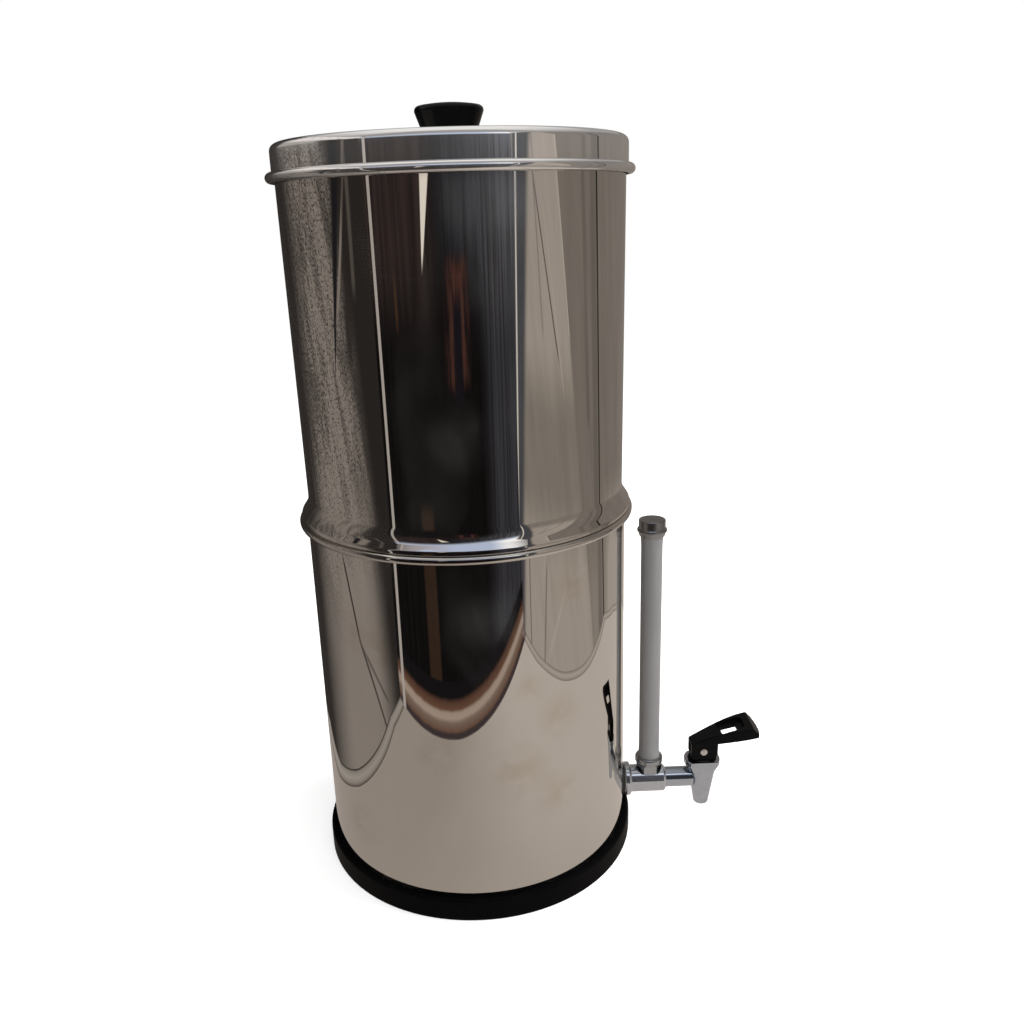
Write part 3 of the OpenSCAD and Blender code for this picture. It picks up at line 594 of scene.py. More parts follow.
def thickened(path: Array, thickness: float) -> Array:
    """The outline of sheet metal with the path on one face.

    Each point moves along the mitre of its two chords' normals, to the right of the way.

    Args:
        path: points from the axis outwards.
        thickness: the sheet's thickness.

    Returns:
        The path, followed by its shifted copy backwards.
    """
    way = np.diff(path, axis=0)
    way /= np.linalg.norm(way, axis=1)[:, None]
    right = np.column_stack((way[:, 1], -way[:, 0]))
    before = np.vstack((right[:1], right))
    after = np.vstack((right, right[-1:]))
    mitre = (before + after) / (1 + np.sum(before * after, axis=1))[:, None]
    return np.vstack((path, (path + thickness * mitre)[::-1]))


def rod(radius: float, low: float, high: float) -> Array:
    """The outline of a solid rod between two heights."""
    return line((0, low), (radius, low), (radius, high), (0, high))


def rounded(radius: float, low: float, high: float, edge: float, steps: int) -> Array:
    """The outer side of a ring between two heights, with both its edges rounded."""
    return joined(arc((radius - edge, low + edge), edge, -90, 0, steps),
                  arc((radius - edge, high - edge), edge, 0, 90, steps))


def make_object(name: str, points: Array, faces: Iterable[Sequence[int]]) -> Piece:
    """A mesh object from points in millimetres.

    Args:
        name: the object's name.
        points: the vertices, one row each.
        faces: the vertex numbers of each face, counter-clockwise from outside.

    Returns:
        The object, which is linked to the scene.
    """
    mesh = bpy.data.meshes.new(name)
    mesh.from_pydata((points * MM).tolist(), [], faces)
    mesh.update()
    made = bpy.data.objects.new(name, mesh)
    bpy.context.scene.collection.objects.link(made)
    return made


def grid_faces(numbers: Array) -> list[list[int]]:
    """The faces of a grid of vertex numbers that is closed along both directions.

    A row that holds one number over and over is a pole, and gives triangles.

    Args:
        numbers: the vertex numbers, one row for each point of the outline.

    Returns:
        The faces' vertex numbers.
    """
    low, high = numbers, np.roll(numbers, -1, 0)
    quads = np.stack((low, np.roll(low, -1, 1), np.roll(high, -1, 1), high), axis=-1)
    flat_low = low[:, 0] == low[:, -1]
    flat_high = high[:, 0] == high[:, -1]
    return (quads[~flat_low & ~flat_high].reshape(-1, 4).tolist()
            + quads[flat_low & ~flat_high][..., [0, 2, 3]].reshape(-1, 3).tolist()
            + quads[~flat_low & flat_high][..., [0, 1, 2]].reshape(-1, 3).tolist())


class Axis(Enum):
    """The line that a piece is turned on: its direction, and two directions across it."""

    UP = ((0, 0, 1), (1, 0, 0), (0, 1, 0))
    PIPE = ((0, -1, 0), (1, 0, 0), (0, 0, 1))


@dataclass(frozen=True)
class Lathe:
    """Turns outlines into pieces.

    A point of the surface is the centre, plus its height along the axis, plus its radius
    times the cosine and sine of the angle along the two directions across.
    """

    centre: Point = (0.0, 0.0, 0.0)
    axis: Axis = Axis.UP
    steps: int = 128

    def turn(self, name: str, outline: Array, shape: Array | None = None) -> Piece:
        """Turns a closed outline of (radius, height) points.

        Args:
            name: the piece's name.
            outline: the points, round the solid either way.
            shape: the radius at each point and angle, where the piece isn't round.

        Returns:
            The piece's object.
        """
        radius, height = outline[:, 0], outline[:, 1]
        area = np.sum(radius * np.roll(height, -1) - np.roll(radius, -1) * height)
        if area < 0:
            outline, shape = outline[::-1], None if shape is None else shape[::-1]
            radius, height = outline[:, 0], outline[:, 1]
        angle = np.linspace(0, 2 * np.pi, self.steps, endpoint=False)
        reach = np.repeat(radius[:, None], self.steps, 1) if shape is None else shape
        along, first, second = (np.array(v, float) for v in self.axis.value)
        if np.dot(np.cross(first, second), along) < 0:
            angle = -angle
        points = (np.array(self.centre) + height[:, None, None] * along
                  + reach[..., None] * (np.cos(angle)[:, None] * first
                                        + np.sin(angle)[:, None] * second))
        poles = radius < 1e-6
        count = np.where(poles, 1, self.steps)
        start = np.concatenate(([0], np.cumsum(count)[:-1]))
        numbers = start[:, None] + np.where(poles[:, None], 0, np.arange(self.steps))
        kept = np.concatenate([row[:n] for row, n in zip(points, count)])
        return make_object(name, kept, grid_faces(numbers))


def cut(piece: Piece, *tools: Piece, join: bool = False) -> None:
    """Cuts tools out of a piece, or joins them to it, and takes the tools away.

    Args:
        piece: the object that is changed.
        tools: closed objects.
        join: whether the tools are added instead.
    """
    for tool in tools:
        step = piece.modifiers.new("cut", "BOOLEAN")
        step.operation = "UNION" if join else "DIFFERENCE"
        step.solver = "EXACT"
        step.object = tool
        settle(piece)
        bpy.data.objects.remove(tool)


def settle(piece: Piece) -> None:
    """Makes the piece's modifiers part of its mesh.

    Args:
        piece: the object whose mesh is replaced.
    """
    shown = piece.evaluated_get(bpy.context.evaluated_depsgraph_get())
    mesh = bpy.data.meshes.new_from_object(shown)
    piece.modifiers.clear()
    old, piece.data = piece.data, mesh
    mesh.name = piece.name
    bpy.data.meshes.remove(old)


def soften(name: str, node: str, voxel: float, passes: int) -> Piece:
    """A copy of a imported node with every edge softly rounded, as moulding or casting leaves it.

    Args:
        name: the new object's name.
        node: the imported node.
        voxel: the size of the new mesh's squares, in millimetres.
        passes: how often its points move to the middle of their neighbours.

    Returns:
        The new object.
    """
    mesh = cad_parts[node].data.copy()
    mesh.name = name
    mesh.materials.clear()
    work = bmesh.new()
    work.from_mesh(mesh)
    bmesh.ops.remove_doubles(work, verts=work.verts, dist=1e-6)
    work.to_mesh(mesh)
    work.free()
    made = bpy.data.objects.new(name, mesh)
    bpy.context.scene.collection.objects.link(made)
    step = made.modifiers.new("voxels", "REMESH")
    step.mode, step.voxel_size, step.adaptivity = "VOXEL", voxel * MM, 0.0
    ease = made.modifiers.new("soft", "SMOOTH")
    ease.factor, ease.iterations = 0.5, passes
    settle(made)
    return made


def dress(piece: Piece, finish: Finish) -> None:
    """Makes a finish the piece's only material."""
    piece.data.materials.clear()
    piece.data.materials.append(finish.material())


def fit(piece: Piece, finish: Finish, body: str, *nodes: str,
        crease: float | None = 32.0) -> Piece:
    """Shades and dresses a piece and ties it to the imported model.

    Args:
        piece: the object.
        finish: its finish.
        body: the body that it moves with.
        nodes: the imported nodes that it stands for.
        crease: the turn in degrees from which an edge stays sharp. The normals are weighted
            by the faces' areas then, so that flat parts stay true. None keeps no edge sharp.

    Returns:
        The same object.
    """
    piece.data.shade_smooth()
    if crease is not None:
        piece.data.set_sharp_from_angle(angle=math.radians(crease))
        step = piece.modifiers.new("normals", "WEIGHTED_NORMAL")
        step.keep_sharp = True
        settle(piece)
    dress(piece, finish)
    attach(piece, body)
    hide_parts(*nodes)
    LOG.info("%s: %d faces, %s, on %s", piece.name, len(piece.data.polygons), finish.name, body)
    return piece


def paint(finish: Finish, *nodes: str) -> None:
    """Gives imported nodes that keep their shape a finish.

    Args:
        finish: the finish.
        nodes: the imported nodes' names.
    """
    for name in nodes:
        dress(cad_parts[name], finish)
        LOG.info("%s: packed shape, %s", name, finish.name)


# ---- Base and chambers ------------------------------------------------------------------


@dataclass(frozen=True)
class Vessel:
    """Sizes that the chambers, the lid and the base ring share, in millimetres."""

    wall: float = 108.0
    sheet: float = 0.8
    ledge: float = 3.0
    joint: float = 254.4
    rim_out: float = 113.2
    upper_foot: float = 105.5
    upper_top: float = 107.5
    lip: float = 486.2

    @property
    def inside(self) -> float:
        """The inside radius of the lower wall."""
        return self.wall - self.sheet


@dataclass
class BaseRing:
    """The black ring that the lower chamber stands in."""

    vessel: Vessel
    height: float = 16.0
    width: float = 4.2
    gap: float = 0.1
    ledge_width: float = 12.0
    round_top: float = 2.0
    round_foot: float = 1.0

    def build(self) -> None:
        """Turns the ring: a ledge under the chamber and a wall round its foot."""
        inner = self.vessel.wall + self.gap
        outer = inner + self.width
        ledge_in = self.vessel.wall - self.ledge_width
        outline = joined(
            line((ledge_in, 0)),
            arc((outer - self.round_foot, self.round_foot), self.round_foot, -90, 0, 6),
            arc((outer - self.round_top, self.height - self.round_top), self.round_top, 0, 90),
            line((inner, self.height), (inner, self.vessel.ledge),
                 (ledge_in, self.vessel.ledge)))
        ring = Lathe(steps=256).turn("ring_base", outline)
        fit(ring, RUBBER, "base", "base_ring")


@dataclass
class LowerChamber:
    """The lower chamber: raised floor, straight wall and rolled rim."""

    vessel: Vessel
    floor_top: float = 9.8
    foot_width: float = 20.0
    kick: float = 6.0
    corner: float = 4.0
    rim_height: float = 5.0
    rim_round: float = 2.4
    fold_gap: float = 0.3
    tap_height: float = 30.0
    tap_hole: float = 7.8
    tap_band: float = 9.5
    drill_in: float = 8.0
    drill_out: float = 4.0

    def outline(self) -> Array:
        """The sheet's outline, from the floor's middle up the wall and over the rim.

        Returns:
            The outline's (radius, height) points.
        """
        v, r = self.vessel, self.rim_round
        foot_z = v.ledge + v.sheet
        rim_x, rim_z = v.rim_out - r, v.joint - r
        path = joined(
            line((0, self.floor_top), (v.wall - self.foot_width - self.kick, self.floor_top),
                 (v.wall - self.foot_width, foot_z)),
            arc((v.inside - self.corner, foot_z + self.corner), self.corner, -90, 0),
            line((v.inside, self.tap_height - self.tap_band),
                 (v.inside, self.tap_height + self.tap_band)),
            arc((v.inside + r, rim_z), r, 180, 90),
            arc((rim_x, rim_z), r, 90, 0),
            arc((rim_x, v.joint - self.rim_height + r), r, 0, -90),
            line((v.wall + self.fold_gap, v.joint - self.rim_height)))
        return thickened(path, v.sheet)

    def build(self) -> None:
        """Turns the sheet and drills it for the tap."""
        chamber = Lathe(steps=256).turn("chamber_lower", self.outline())
        hole = rod(self.tap_hole, self.vessel.wall - self.drill_in,
                   self.vessel.wall + self.drill_out)
        cut(chamber, Lathe((0, 0, self.tap_height), Axis.PIPE, 96).turn("drill", hole))
        fit(chamber, STEEL, "base", "lower_chamber")


@dataclass
class UpperChamber:
    """The upper chamber: nested bottom, shoulder over the lower rim, wall and turned-in lip."""

    vessel: Vessel
    nest_in: float = 104.8
    floor_top: float = 237.2
    corner: float = 3.0
    flare: float = 16.0
    fall: float = 55.0
    bend: float = 1.6
    face: float = 1.0
    edge: float = 0.4
    inset: float = 1.8
    lip_turn: float = 3.6
    lip_width: float = 2.7
    candle_offset: float = 48.0
    stem_hole: float = 6.3
    drill_low: float = -4.0
    drill_high: float = 2.0

    def outline(self) -> Array:
        """The sheet's outline.

        Over a fold and an upright edge the shoulder leans inwards, and a wide flare leads from
        there into the wall. The slope between is what the bend and the flare leave of the way.

        Returns:
            The outline's (radius, height) points.
        """
        v, fold = self.vessel, self.vessel.sheet + 0.2
        edge_in, shelf_z = v.rim_out - self.inset - v.sheet, v.joint + v.sheet
        round_z = shelf_z + self.edge + self.face
        tilt = 90 - self.fall
        bends, turn = self.bend + self.flare, math.radians(tilt)
        slope = edge_in - v.upper_foot - bends * (1 - math.cos(turn))
        flare_z = round_z + bends * math.sin(turn) + slope / math.tan(turn)
        turn_r = self.lip_turn - v.sheet
        path = joined(
            line((0, self.floor_top)),
            arc((self.nest_in - self.corner, self.floor_top + self.corner),
                self.corner, -90, 0),
            arc((self.nest_in + fold, shelf_z - fold), fold, 180, 90, 8),
            arc((edge_in - self.edge, shelf_z + self.edge), self.edge, -90, 0, 8),
            arc((edge_in - self.bend, round_z), self.bend, 0, tilt, 12),
            arc((v.upper_foot + self.flare, flare_z), self.flare, 180 + tilt, 180, 40),
            arc((v.upper_top - turn_r, v.lip - v.sheet - turn_r), turn_r, 0, 90),
            line((v.upper_top - turn_r - self.lip_width, v.lip - v.sheet)))
        return thickened(path, v.sheet)

    def build(self) -> None:
        """Turns the sheet and drills the floor for the candles' stems."""
        chamber = Lathe(steps=256).turn("chamber_upper", self.outline())
        hole = rod(self.stem_hole, self.drill_low, self.drill_high)
        for side in (-1, 1):
            middle = (side * self.candle_offset, 0, self.floor_top)
            cut(chamber, Lathe(middle, steps=64).turn("drill", hole))
        fit(chamber, STEEL, "upper", "upper_chamber")


# ---- Lid --------------------------------------------------------------------------------


@dataclass
class Lid:
    """The lid with its bead, the knob and what holds it."""

    vessel: Vessel
    gap: float = 0.5
    skirt: float = 22.2
    corner: float = 3.7
    bead_r: float = 3.1
    bead_d: float = 4.1
    screw_hole: float = 2.8
    knob_r: float = 21.3
    knob_foot: float = 15.2
    knob_height: float = 22.0
    knob_dome: float = 1.6
    knob_edge: float = 2.8
    knob_foot_edge: float = 0.5
    screw_r: float = 2.5
    screw_depth: float = 12.3

    @property
    def top(self) -> float:
        """The height of the lid's top."""
        return self.vessel.lip + self.vessel.sheet

    def lid_outline(self) -> Array:
        """The sheet's outline, from the screw hole over the edge and round the bead.

        Returns:
            The outline's (radius, height) points.
        """
        v = self.vessel
        outer = v.upper_top + 2 * v.sheet + self.gap
        edge = self.corner + v.sheet
        bead_x = outer + self.bead_d - self.bead_r
        reach = math.degrees(math.acos((outer - bead_x) / self.bead_r))
        bead_z = self.top - self.skirt + self.bead_r * math.sin(math.radians(reach))
        path = joined(line((self.screw_hole, self.top)),
                      arc((outer - edge, self.top - edge), edge, 90, 0, 16),
                      arc((bead_x, bead_z), self.bead_r, reach, -reach, 24))
        return thickened(path, v.sheet)

    def knob_outline(self) -> Array:
        """The knob's outline: a foot, a flaring side, a round edge and a domed top.

        The dome falls with the square of the distance from its middle.

        Returns:
            The outline's (radius, height) points.
        """
        edge_x = self.knob_r - self.knob_edge
        edge_z = self.knob_height - self.knob_dome - self.knob_edge
        share = np.linspace(1, 0, 14)[1:]
        dome = np.column_stack((edge_x * share,
                                self.knob_height - self.knob_dome * share * share))
        return joined(
            line((self.screw_r, 0)),
            arc((self.knob_foot - self.knob_foot_edge, self.knob_foot_edge),
                self.knob_foot_edge, -90, -8, 4),
            arc((edge_x, edge_z), self.knob_edge, -20, 81, 16), dome,
            line((0, self.screw_depth), (self.screw_r, self.screw_depth)))

    def build(self) -> None:
        """Turns the lid and the knob, and dresses the screw and its washer."""
        lid = Lathe(steps=256).turn("lid_steel", self.lid_outline())
        fit(lid, LID_STEEL_LIGHTENED, "lid", "lid")
        knob = Lathe((0, 0, self.top)).turn("lid_knob", self.knob_outline())
        fit(knob, KNOB_PLASTIC, "lid", "knob", crease=40)
        paint(TurnedSteel("steel_screw", "bright_fitting"), "knob_screw", "knob_washer")


# ---- Filter candles ---------------------------------------------------------------------


@dataclass
class Candles:
    """The two ceramic candles in the upper chamber, with their bases, stems and nuts."""

    offset: float = UpperChamber.candle_offset
    shell_z: float = 246.6
    shell_r: float = 24.5
    shell_h: float = 165.0
    shell_wall: float = 8.0
    dome: float = 15.0
    base_z: float = 239.6
    base_r: float = 27.0
    base_h: float = 14.0
    seat: float = 7.0
    stem_r: float = 6.0
    stem_h: float = 22.0
    bore: float = 2.5
    edge: float = 1.5
    gap: float = 0.05

    def shell_outline(self) -> Array:
        """The shell's outline, whose end is half an ellipse outside and inside.

        Returns:
            The outline's (radius, height) points.
        """
        inner = self.shell_r - self.shell_wall
        low = self.shell_h - self.dome
        inner_dome = self.dome * inner / self.shell_r
        turn = np.radians(np.linspace(0, 90, 17))
        outside = np.column_stack((self.shell_r * np.cos(turn), low + self.dome * np.sin(turn)))
        top = self.shell_h - self.shell_wall
        inside = np.column_stack((inner * np.cos(turn[::-1]),
                                  top - inner_dome + inner_dome * np.sin(turn[::-1])))
        return joined(line((inner, 0), (self.shell_r, 0)), outside, inside)

    def base_outline(self) -> Array:
        """The base's outline: a cup for the shell on a hollow stem.

        Returns:
            The outline's (radius, height) points.
        """
        pocket = self.shell_r + self.gap
        return joined(
            line((self.bore, -self.stem_h), (self.stem_r, -self.stem_h), (self.stem_r, 0)),
            rounded(self.base_r, 0.0, self.base_h, self.edge, 6),
            line((pocket, self.base_h), (pocket, self.base_h - self.seat),
                 (self.bore, self.base_h - self.seat)))

    def build(self) -> None:
        """Turns shells and bases, and dresses what stands under them."""
        for side, name in ((-1, "left"), (1, "right")):
            x = side * self.offset
            shell = Lathe((x, 0, self.shell_z), steps=96)
            fit(shell.turn(f"candle_{name}", self.shell_outline()), CERAMIC,
                "upper", f"candle_shell_{name}")
            base = Lathe((x, 0, self.base_z), steps=96)
            fit(base.turn(f"base_{name}", self.base_outline()), WHITE_PLASTIC,
                "upper", f"candle_base_{name}")
            paint(CARBON, f"candle_core_{name}")
            paint(WHITE_PLASTIC, f"candle_nut_{name}")
            paint(SILICONE, f"candle_seal_{name}")


# ---- Tee fitting and level gauge --------------------------------------------------------


@dataclass
class Tee:
    """The fitting through the chamber's wall, which carries the gauge and the tap."""

    height: float = LowerChamber.tap_height
    shank_end: float = 93.2
    shank_r: float = 7.5
    flange_x: float = 109.5
    flange_r: float = 12.5
    flange_t: float = 4.9
    flange_round: float = 1.6
    barrel_r: float = 10.2
    end: float = 140.7
    bevel: float = 1.5
    passage: float = 5.0
    socket_x: float = 134.3
    socket_r: float = 6.25
    gauge_x: float = 128.7
    flat_z: float = 37.0
    flat_r: float = 9.65
    spigot_r: float = 5.65

    def outline(self) -> Array:
        """The fitting's outline along the pipe: shank, flange, barrel and bore.

        Returns:
            The outline's (radius, height) points.
        """
        face = self.flange_x + self.flange_t
        return joined(
            line((self.passage, self.shank_end), (self.shank_r - 0.6, self.shank_end),
                 (self.shank_r, self.shank_end + 0.6), (self.shank_r, self.flange_x)),
            rounded(self.flange_r, self.flange_x, face, self.flange_round, 8),
            arc((self.barrel_r + 0.5, face + 0.5), 0.5, 270, 180, 4),
            arc((self.barrel_r - 0.5, self.end - self.bevel - 0.2), 0.5, 0, 45, 4),
            arc((self.barrel_r - self.bevel, self.end - 0.4), 0.4, 45, 90, 3),
            line((self.socket_r, self.end), (self.socket_r, self.socket_x),
                 (self.passage, self.socket_x)))

    def build(self) -> None:
        """Turns the fitting, cuts the gauge's flat and hole, and dresses seals and nut."""
        tee = Lathe((0, 0, self.height), Axis.PIPE, 144).turn("tee_fitting", self.outline())
        lathe = Lathe((0, -self.gauge_x, 0), steps=96)
        top = self.height + self.barrel_r + 2
        flat = lathe.turn("flat", rod(self.flat_r, self.flat_z, top))
        hole = lathe.turn("hole", rod(self.spigot_r, self.height, top))
        cut(tee, flat, hole)
        turned = dict(along=1, centre=(0, 0, self.height))
        fit(tee, TurnedSteel("steel_tee", "bright_fitting", colour=(0.60, 0.63, 0.68),
                             film=0.08, rough=0.05, cloudy=0.04, depth=0.0008, **turned),
            "base", "gauge_tee")
        paint(SEAL_RUBBER, "outer_seal")
        paint(SILICONE, "inner_seal")
        paint(TurnedSteel("steel_nut", "satin_steel", **turned), "back_nut")


@dataclass
class LevelGauge:
    """The sight tube in its socket, the gland nut round its foot and the cap on its end."""

    x: float = Tee.gauge_x
    socket_z: float = Tee.flat_z
    tube_z: float = 44.4
    hexagon: float = 16.2
    chamfer: float = 0.9
    spigot_r: float = 5.6
    spigot_len: float = 6.0
    bore: float = 3.4
    neck_r: float = 9.1
    neck_top: float = 47.2
    gland_r: float = 10.3
    gland_h: float = 5.6
    gland_lip: float = 1.4
    gland_edge: float = 1.6
    tube_r: float = 7.55
    tube_wall: float = 1.8
    tube_top: float = 234.8
    flare: float = 0.55
    flare_len: float = 10.0
    cap_r: float = 9.4
    cap_h: float = 11.8
    cap_ring: float = 10.5
    ring_r: float = 1.7
    ring_rise: float = 2.4
    cap_crown: float = 2.4
    vent: float = 0.7

    def socket(self) -> Piece:
        """The socket: a spigot, a hexagon and a round neck with a seat for the tube.

        The hexagon's radius is half its width over the cosine of the angle from the nearest
        flat. It is limited by a cone that breaks its corners at both ends.

        Returns:
            The socket's object.
        """
        lathe = Lathe((0, -self.x, 0), steps=144)
        seat = self.tube_r + self.flare + 0.05
        corner = self.hexagon / 2 / math.cos(math.radians(30))
        rise = np.array([0.0, self.chamfer / 2, self.chamfer])
        heights = np.concatenate((self.socket_z + rise, self.tube_z - rise[::-1]))
        limit = corner - np.concatenate((rise[::-1], rise)) * 0.9
        outline = joined(
            line((self.bore, self.socket_z - self.spigot_len),
                 (self.spigot_r, self.socket_z - self.spigot_len),
                 (self.spigot_r, self.socket_z - 0.01)),
            np.column_stack((np.full(6, corner), heights)),
            line((self.neck_r, self.tube_z + 0.01), (self.neck_r, self.neck_top),
                 (seat, self.neck_top), (seat, self.tube_z), (self.bore, self.tube_z)))
        turn = np.degrees(np.linspace(0, 2 * np.pi, lathe.steps, endpoint=False))
        from_flat = np.radians((turn + 30) % 60 - 30)
        hexagon = self.hexagon / 2 / np.cos(from_flat)
        shape = np.repeat(outline[:, :1], lathe.steps, 1)
        shape[3:9] = np.minimum(hexagon[None, :], limit[:, None])
        return lathe.turn("gauge_hexagon", outline, shape)

    def gland(self) -> Array:
        """The gland nut's outline, with rounded edges and a lip over the seal.

        Returns:
            The outline's (radius, height) points.
        """
        low, high = self.tube_z, self.tube_z + self.gland_h
        thread, lip_r = self.neck_r + 0.05, self.tube_r + self.flare + 0.3
        return joined(
            line((thread, low)), rounded(self.gland_r, low, high, self.gland_edge, 8),
            line((lip_r, high), (lip_r, high - self.gland_lip),
                 (thread, high - self.gland_lip)))

    def tube(self) -> Array:
        """The tube's outline. Each end is wider by the square of the way that is left.

        Returns:
            The outline's (radius, height) points.
        """
        share = np.linspace(0, 1, 13)
        radius = self.tube_r + self.flare * (1 - share) ** 2
        foot = np.column_stack((radius, self.tube_z + self.gland_h + self.flare_len * share))
        head = np.column_stack((radius, self.tube_top - self.cap_h + self.cap_crown
                                - self.flare_len * share))
        inner, wide = self.tube_r - self.tube_wall, self.tube_r + self.flare
        return joined(line((inner, self.tube_z), (wide, self.tube_z)), foot, head[::-1],
                      line((wide, self.tube_top), (inner, self.tube_top)))

    def cap(self) -> Array:
        """The cap's outline, with a round ring at its foot and an air hole in its crown.

        Returns:
            The outline's (radius, height) points.
        """
        top = self.tube_top + self.cap_crown
        low = top - self.cap_h
        fit_r, ring = self.tube_r + self.flare + 0.08, self.ring_r
        ring_x, ring_z = self.cap_ring - ring, low + self.ring_rise + ring
        end = math.degrees(math.acos((self.cap_r - ring_x) / ring))
        return joined(
            line((fit_r, low), (fit_r + 0.72, low)),
            arc((ring_x, ring_z), ring, -50, end, 14),
            arc((self.cap_r - 0.8, top - 0.8), 0.8, 0, 90, 8),
            arc((self.vent + 0.3, top - 0.3), 0.3, 90, 180, 4),
            line((self.vent, self.tube_top), (fit_r, self.tube_top)))

    def build(self) -> None:
        """Makes the gauge's pieces."""
        centre = (0, -self.x, 0)
        lathe = Lathe(centre)
        satin = dict(slot="satin_steel", centre=centre, depth=0.003)
        fit(self.socket(),
            TurnedSteel("steel_socket", rough=0.20, colour=(0.47, 0.49, 0.52), **satin),
            "base", "gauge_socket", crease=22)
        gland = lathe.turn("gauge_gland", self.gland())
        fit(gland, TurnedSteel("steel_gland", rough=0.22, colour=(0.45, 0.47, 0.50), **satin),
            "base", "gauge_nut")
        tube = lathe.turn("gauge_sight_tube", self.tube())
        fit(tube, MistedTube("tube_misted", "sight_tube", centre=centre), "base", "gauge_tube")
        cap = lathe.turn("gauge_top_cap", self.cap())
        fit(cap, TurnedSteel("steel_cap", "dark_satin_steel", colour=(0.36, 0.365, 0.38),
                             rough=0.28, centre=centre, pitch=0.25, depth=0.003),
            "gauge_cap", "gauge_cap")
        paint(SEAL_RUBBER, "gauge_seal")


# ---- Tap --------------------------------------------------------------------------------


@dataclass
class Tap:
    """The tap: barrel, spout and cup in one casting, with guide, stem and valve inside."""

    pipe_z: float = Tee.height
    barrel_x: float = 135.8
    barrel_seen: float = Tee.end
    barrel_r: float = 7.5
    plug_r: float = 6.2
    bore: float = 4.5
    spout_x: float = 169.1
    mouth_z: float = 8.0
    mouth_r: float = 5.6
    mouth_edge: float = 0.9
    outlet: float = 3.8
    neck_z: float = 35.4
    neck_r: float = 9.9
    cup_r: float = 13.4
    cup_z: float = 42.2
    rim_z: float = 46.0
    flats: float = 18.6
    cup_in_r: float = 10.6
    cup_in_flats: float = 15.6
    cup_floor: float = 39.5
    seat_z: float = 21.0
    valve_r: float = 6.4
    stem_lift: float = 2.1
    steps: int = 192

    def section(self, radius: Array, flats: Array) -> Array:
        """A round radius pressed flat on two sides, with softly rounded corners.

        The distance of a flat side is half the width over the sine of the angle. The smaller
        of that and the round radius is taken with a high power mean, which rounds the corner.

        Args:
            radius: the round radius at each point of the outline.
            flats: the distance of the flat sides at each point.

        Returns:
            The radius at each point and angle.
        """
        angle = np.linspace(0, 2 * np.pi, self.steps, endpoint=False)
        side = (flats[:, None] / 2) / np.maximum(np.abs(np.cos(angle))[None, :], 1e-3)
        power = 28.0
        return (radius[:, None] ** -power + side ** -power) ** (-1 / power)

    def spout(self) -> Piece:
        """The spout and cup, hollow down to the valve's seat and the outlet.

        Returns:
            The casting's object.
        """
        edge = self.mouth_edge
        outside = joined(
            arc((self.mouth_r - edge, self.mouth_z + edge), edge, -90, 0, 6),
            line((self.neck_r - 0.15, self.neck_z - 0.8), (self.neck_r, self.neck_z),
                 (self.neck_r + 0.35, self.neck_z + 0.6),
                 (self.cup_r - 0.3, self.cup_z - 0.6)),
            line((self.cup_r, self.cup_z), (self.cup_r, self.cup_z + 0.8)),
            arc((self.cup_r - 0.8, self.rim_z - 0.8), 0.8, 0, 90, 6))
        inside = joined(
            arc((self.cup_in_r + 0.5, self.rim_z - 0.5), 0.5, 90, 180, 4),
            line((self.cup_in_r, self.cup_floor), (self.valve_r, self.cup_floor),
                 (self.valve_r, self.seat_z), (self.outlet, self.seat_z)),
            line((self.outlet, self.mouth_z + 0.4), (self.outlet + 0.4, self.mouth_z)))
        outline = joined(outside, inside)
        # Inside, the cup's rim and wall take six points and have flats of their own. Below
        # them everything is round, so the flats there lie far outside.
        cup, bore = len(outside), len(outside) + 6
        flats = np.full(len(outline), self.flats)
        flats[cup:bore] = self.cup_in_flats
        flats[bore:] = 10 * self.flats
        shape = self.section(outline[:, 0], flats)
        lathe = Lathe((0, -self.spout_x, 0), steps=self.steps)
        return lathe.turn("tap_casting", outline, shape)

    def build(self) -> None:
        """Makes the casting and dresses what it holds."""
        casting = self.spout()
        lathe = Lathe((0, 0, self.pipe_z), Axis.PIPE, 96)
        wall = self.spout_x - self.valve_r - 1.0
        barrel = lathe.turn("barrel", joined(
            line((0, self.barrel_x), (self.plug_r - 0.4, self.barrel_x),
                 (self.plug_r, self.barrel_x + 0.4), (self.plug_r, self.barrel_seen),
                 (self.barrel_r - 0.3, self.barrel_seen),
                 (self.barrel_r, self.barrel_seen + 0.3), (self.barrel_r, wall), (0, wall))))
        cut(casting, barrel, join=True)
        cut(casting, lathe.turn("bore", rod(self.bore, self.barrel_x - 1, self.spout_x)))
        fit(casting, CastSteel("steel_tap", "satin_steel", colour=(0.53, 0.575, 0.64),
                               rough=0.10, grain=1.1, depth=0.0012),
            "base", "tap_body", crease=30)
        centre = (0, -self.spout_x, 0)
        paint(TurnedSteel("steel_stem", "satin_steel", centre=centre), "valve_stem",
              "valve_spring")
        paint(LEVER_PLASTIC, "stem_guide")
        paint(SEAL_RUBBER, "stem_seal", "tap_seal")
        # Painted shade: the white plastic slip washer is coloured near black, as the shade inside
        # the cup looks.
        paint(Moulded("plastic_slip_painted_shade", "white_plastic", colour=(0.03, 0.03, 0.032),
                      specular=0.2), "slip_washer")
        paint(SILICONE, "valve_plug")
        self.shorten_spring()

    def shorten_spring(self) -> None:
        """Gives the spring a mesh of its own."""
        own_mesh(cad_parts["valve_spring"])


@dataclass
class Lever:
    """The tap's lever and the pin that it turns on."""

    pin_z: float = 53.9
    spout_x: float = Tap.spout_x
    aim: float = 0.0
    fork: float = 13.0
    pin_r: float = 1.5
    head_r: float = 2.7
    head_t: float = 0.8
    head_edge: float = 0.35
    dome: float = 0.1

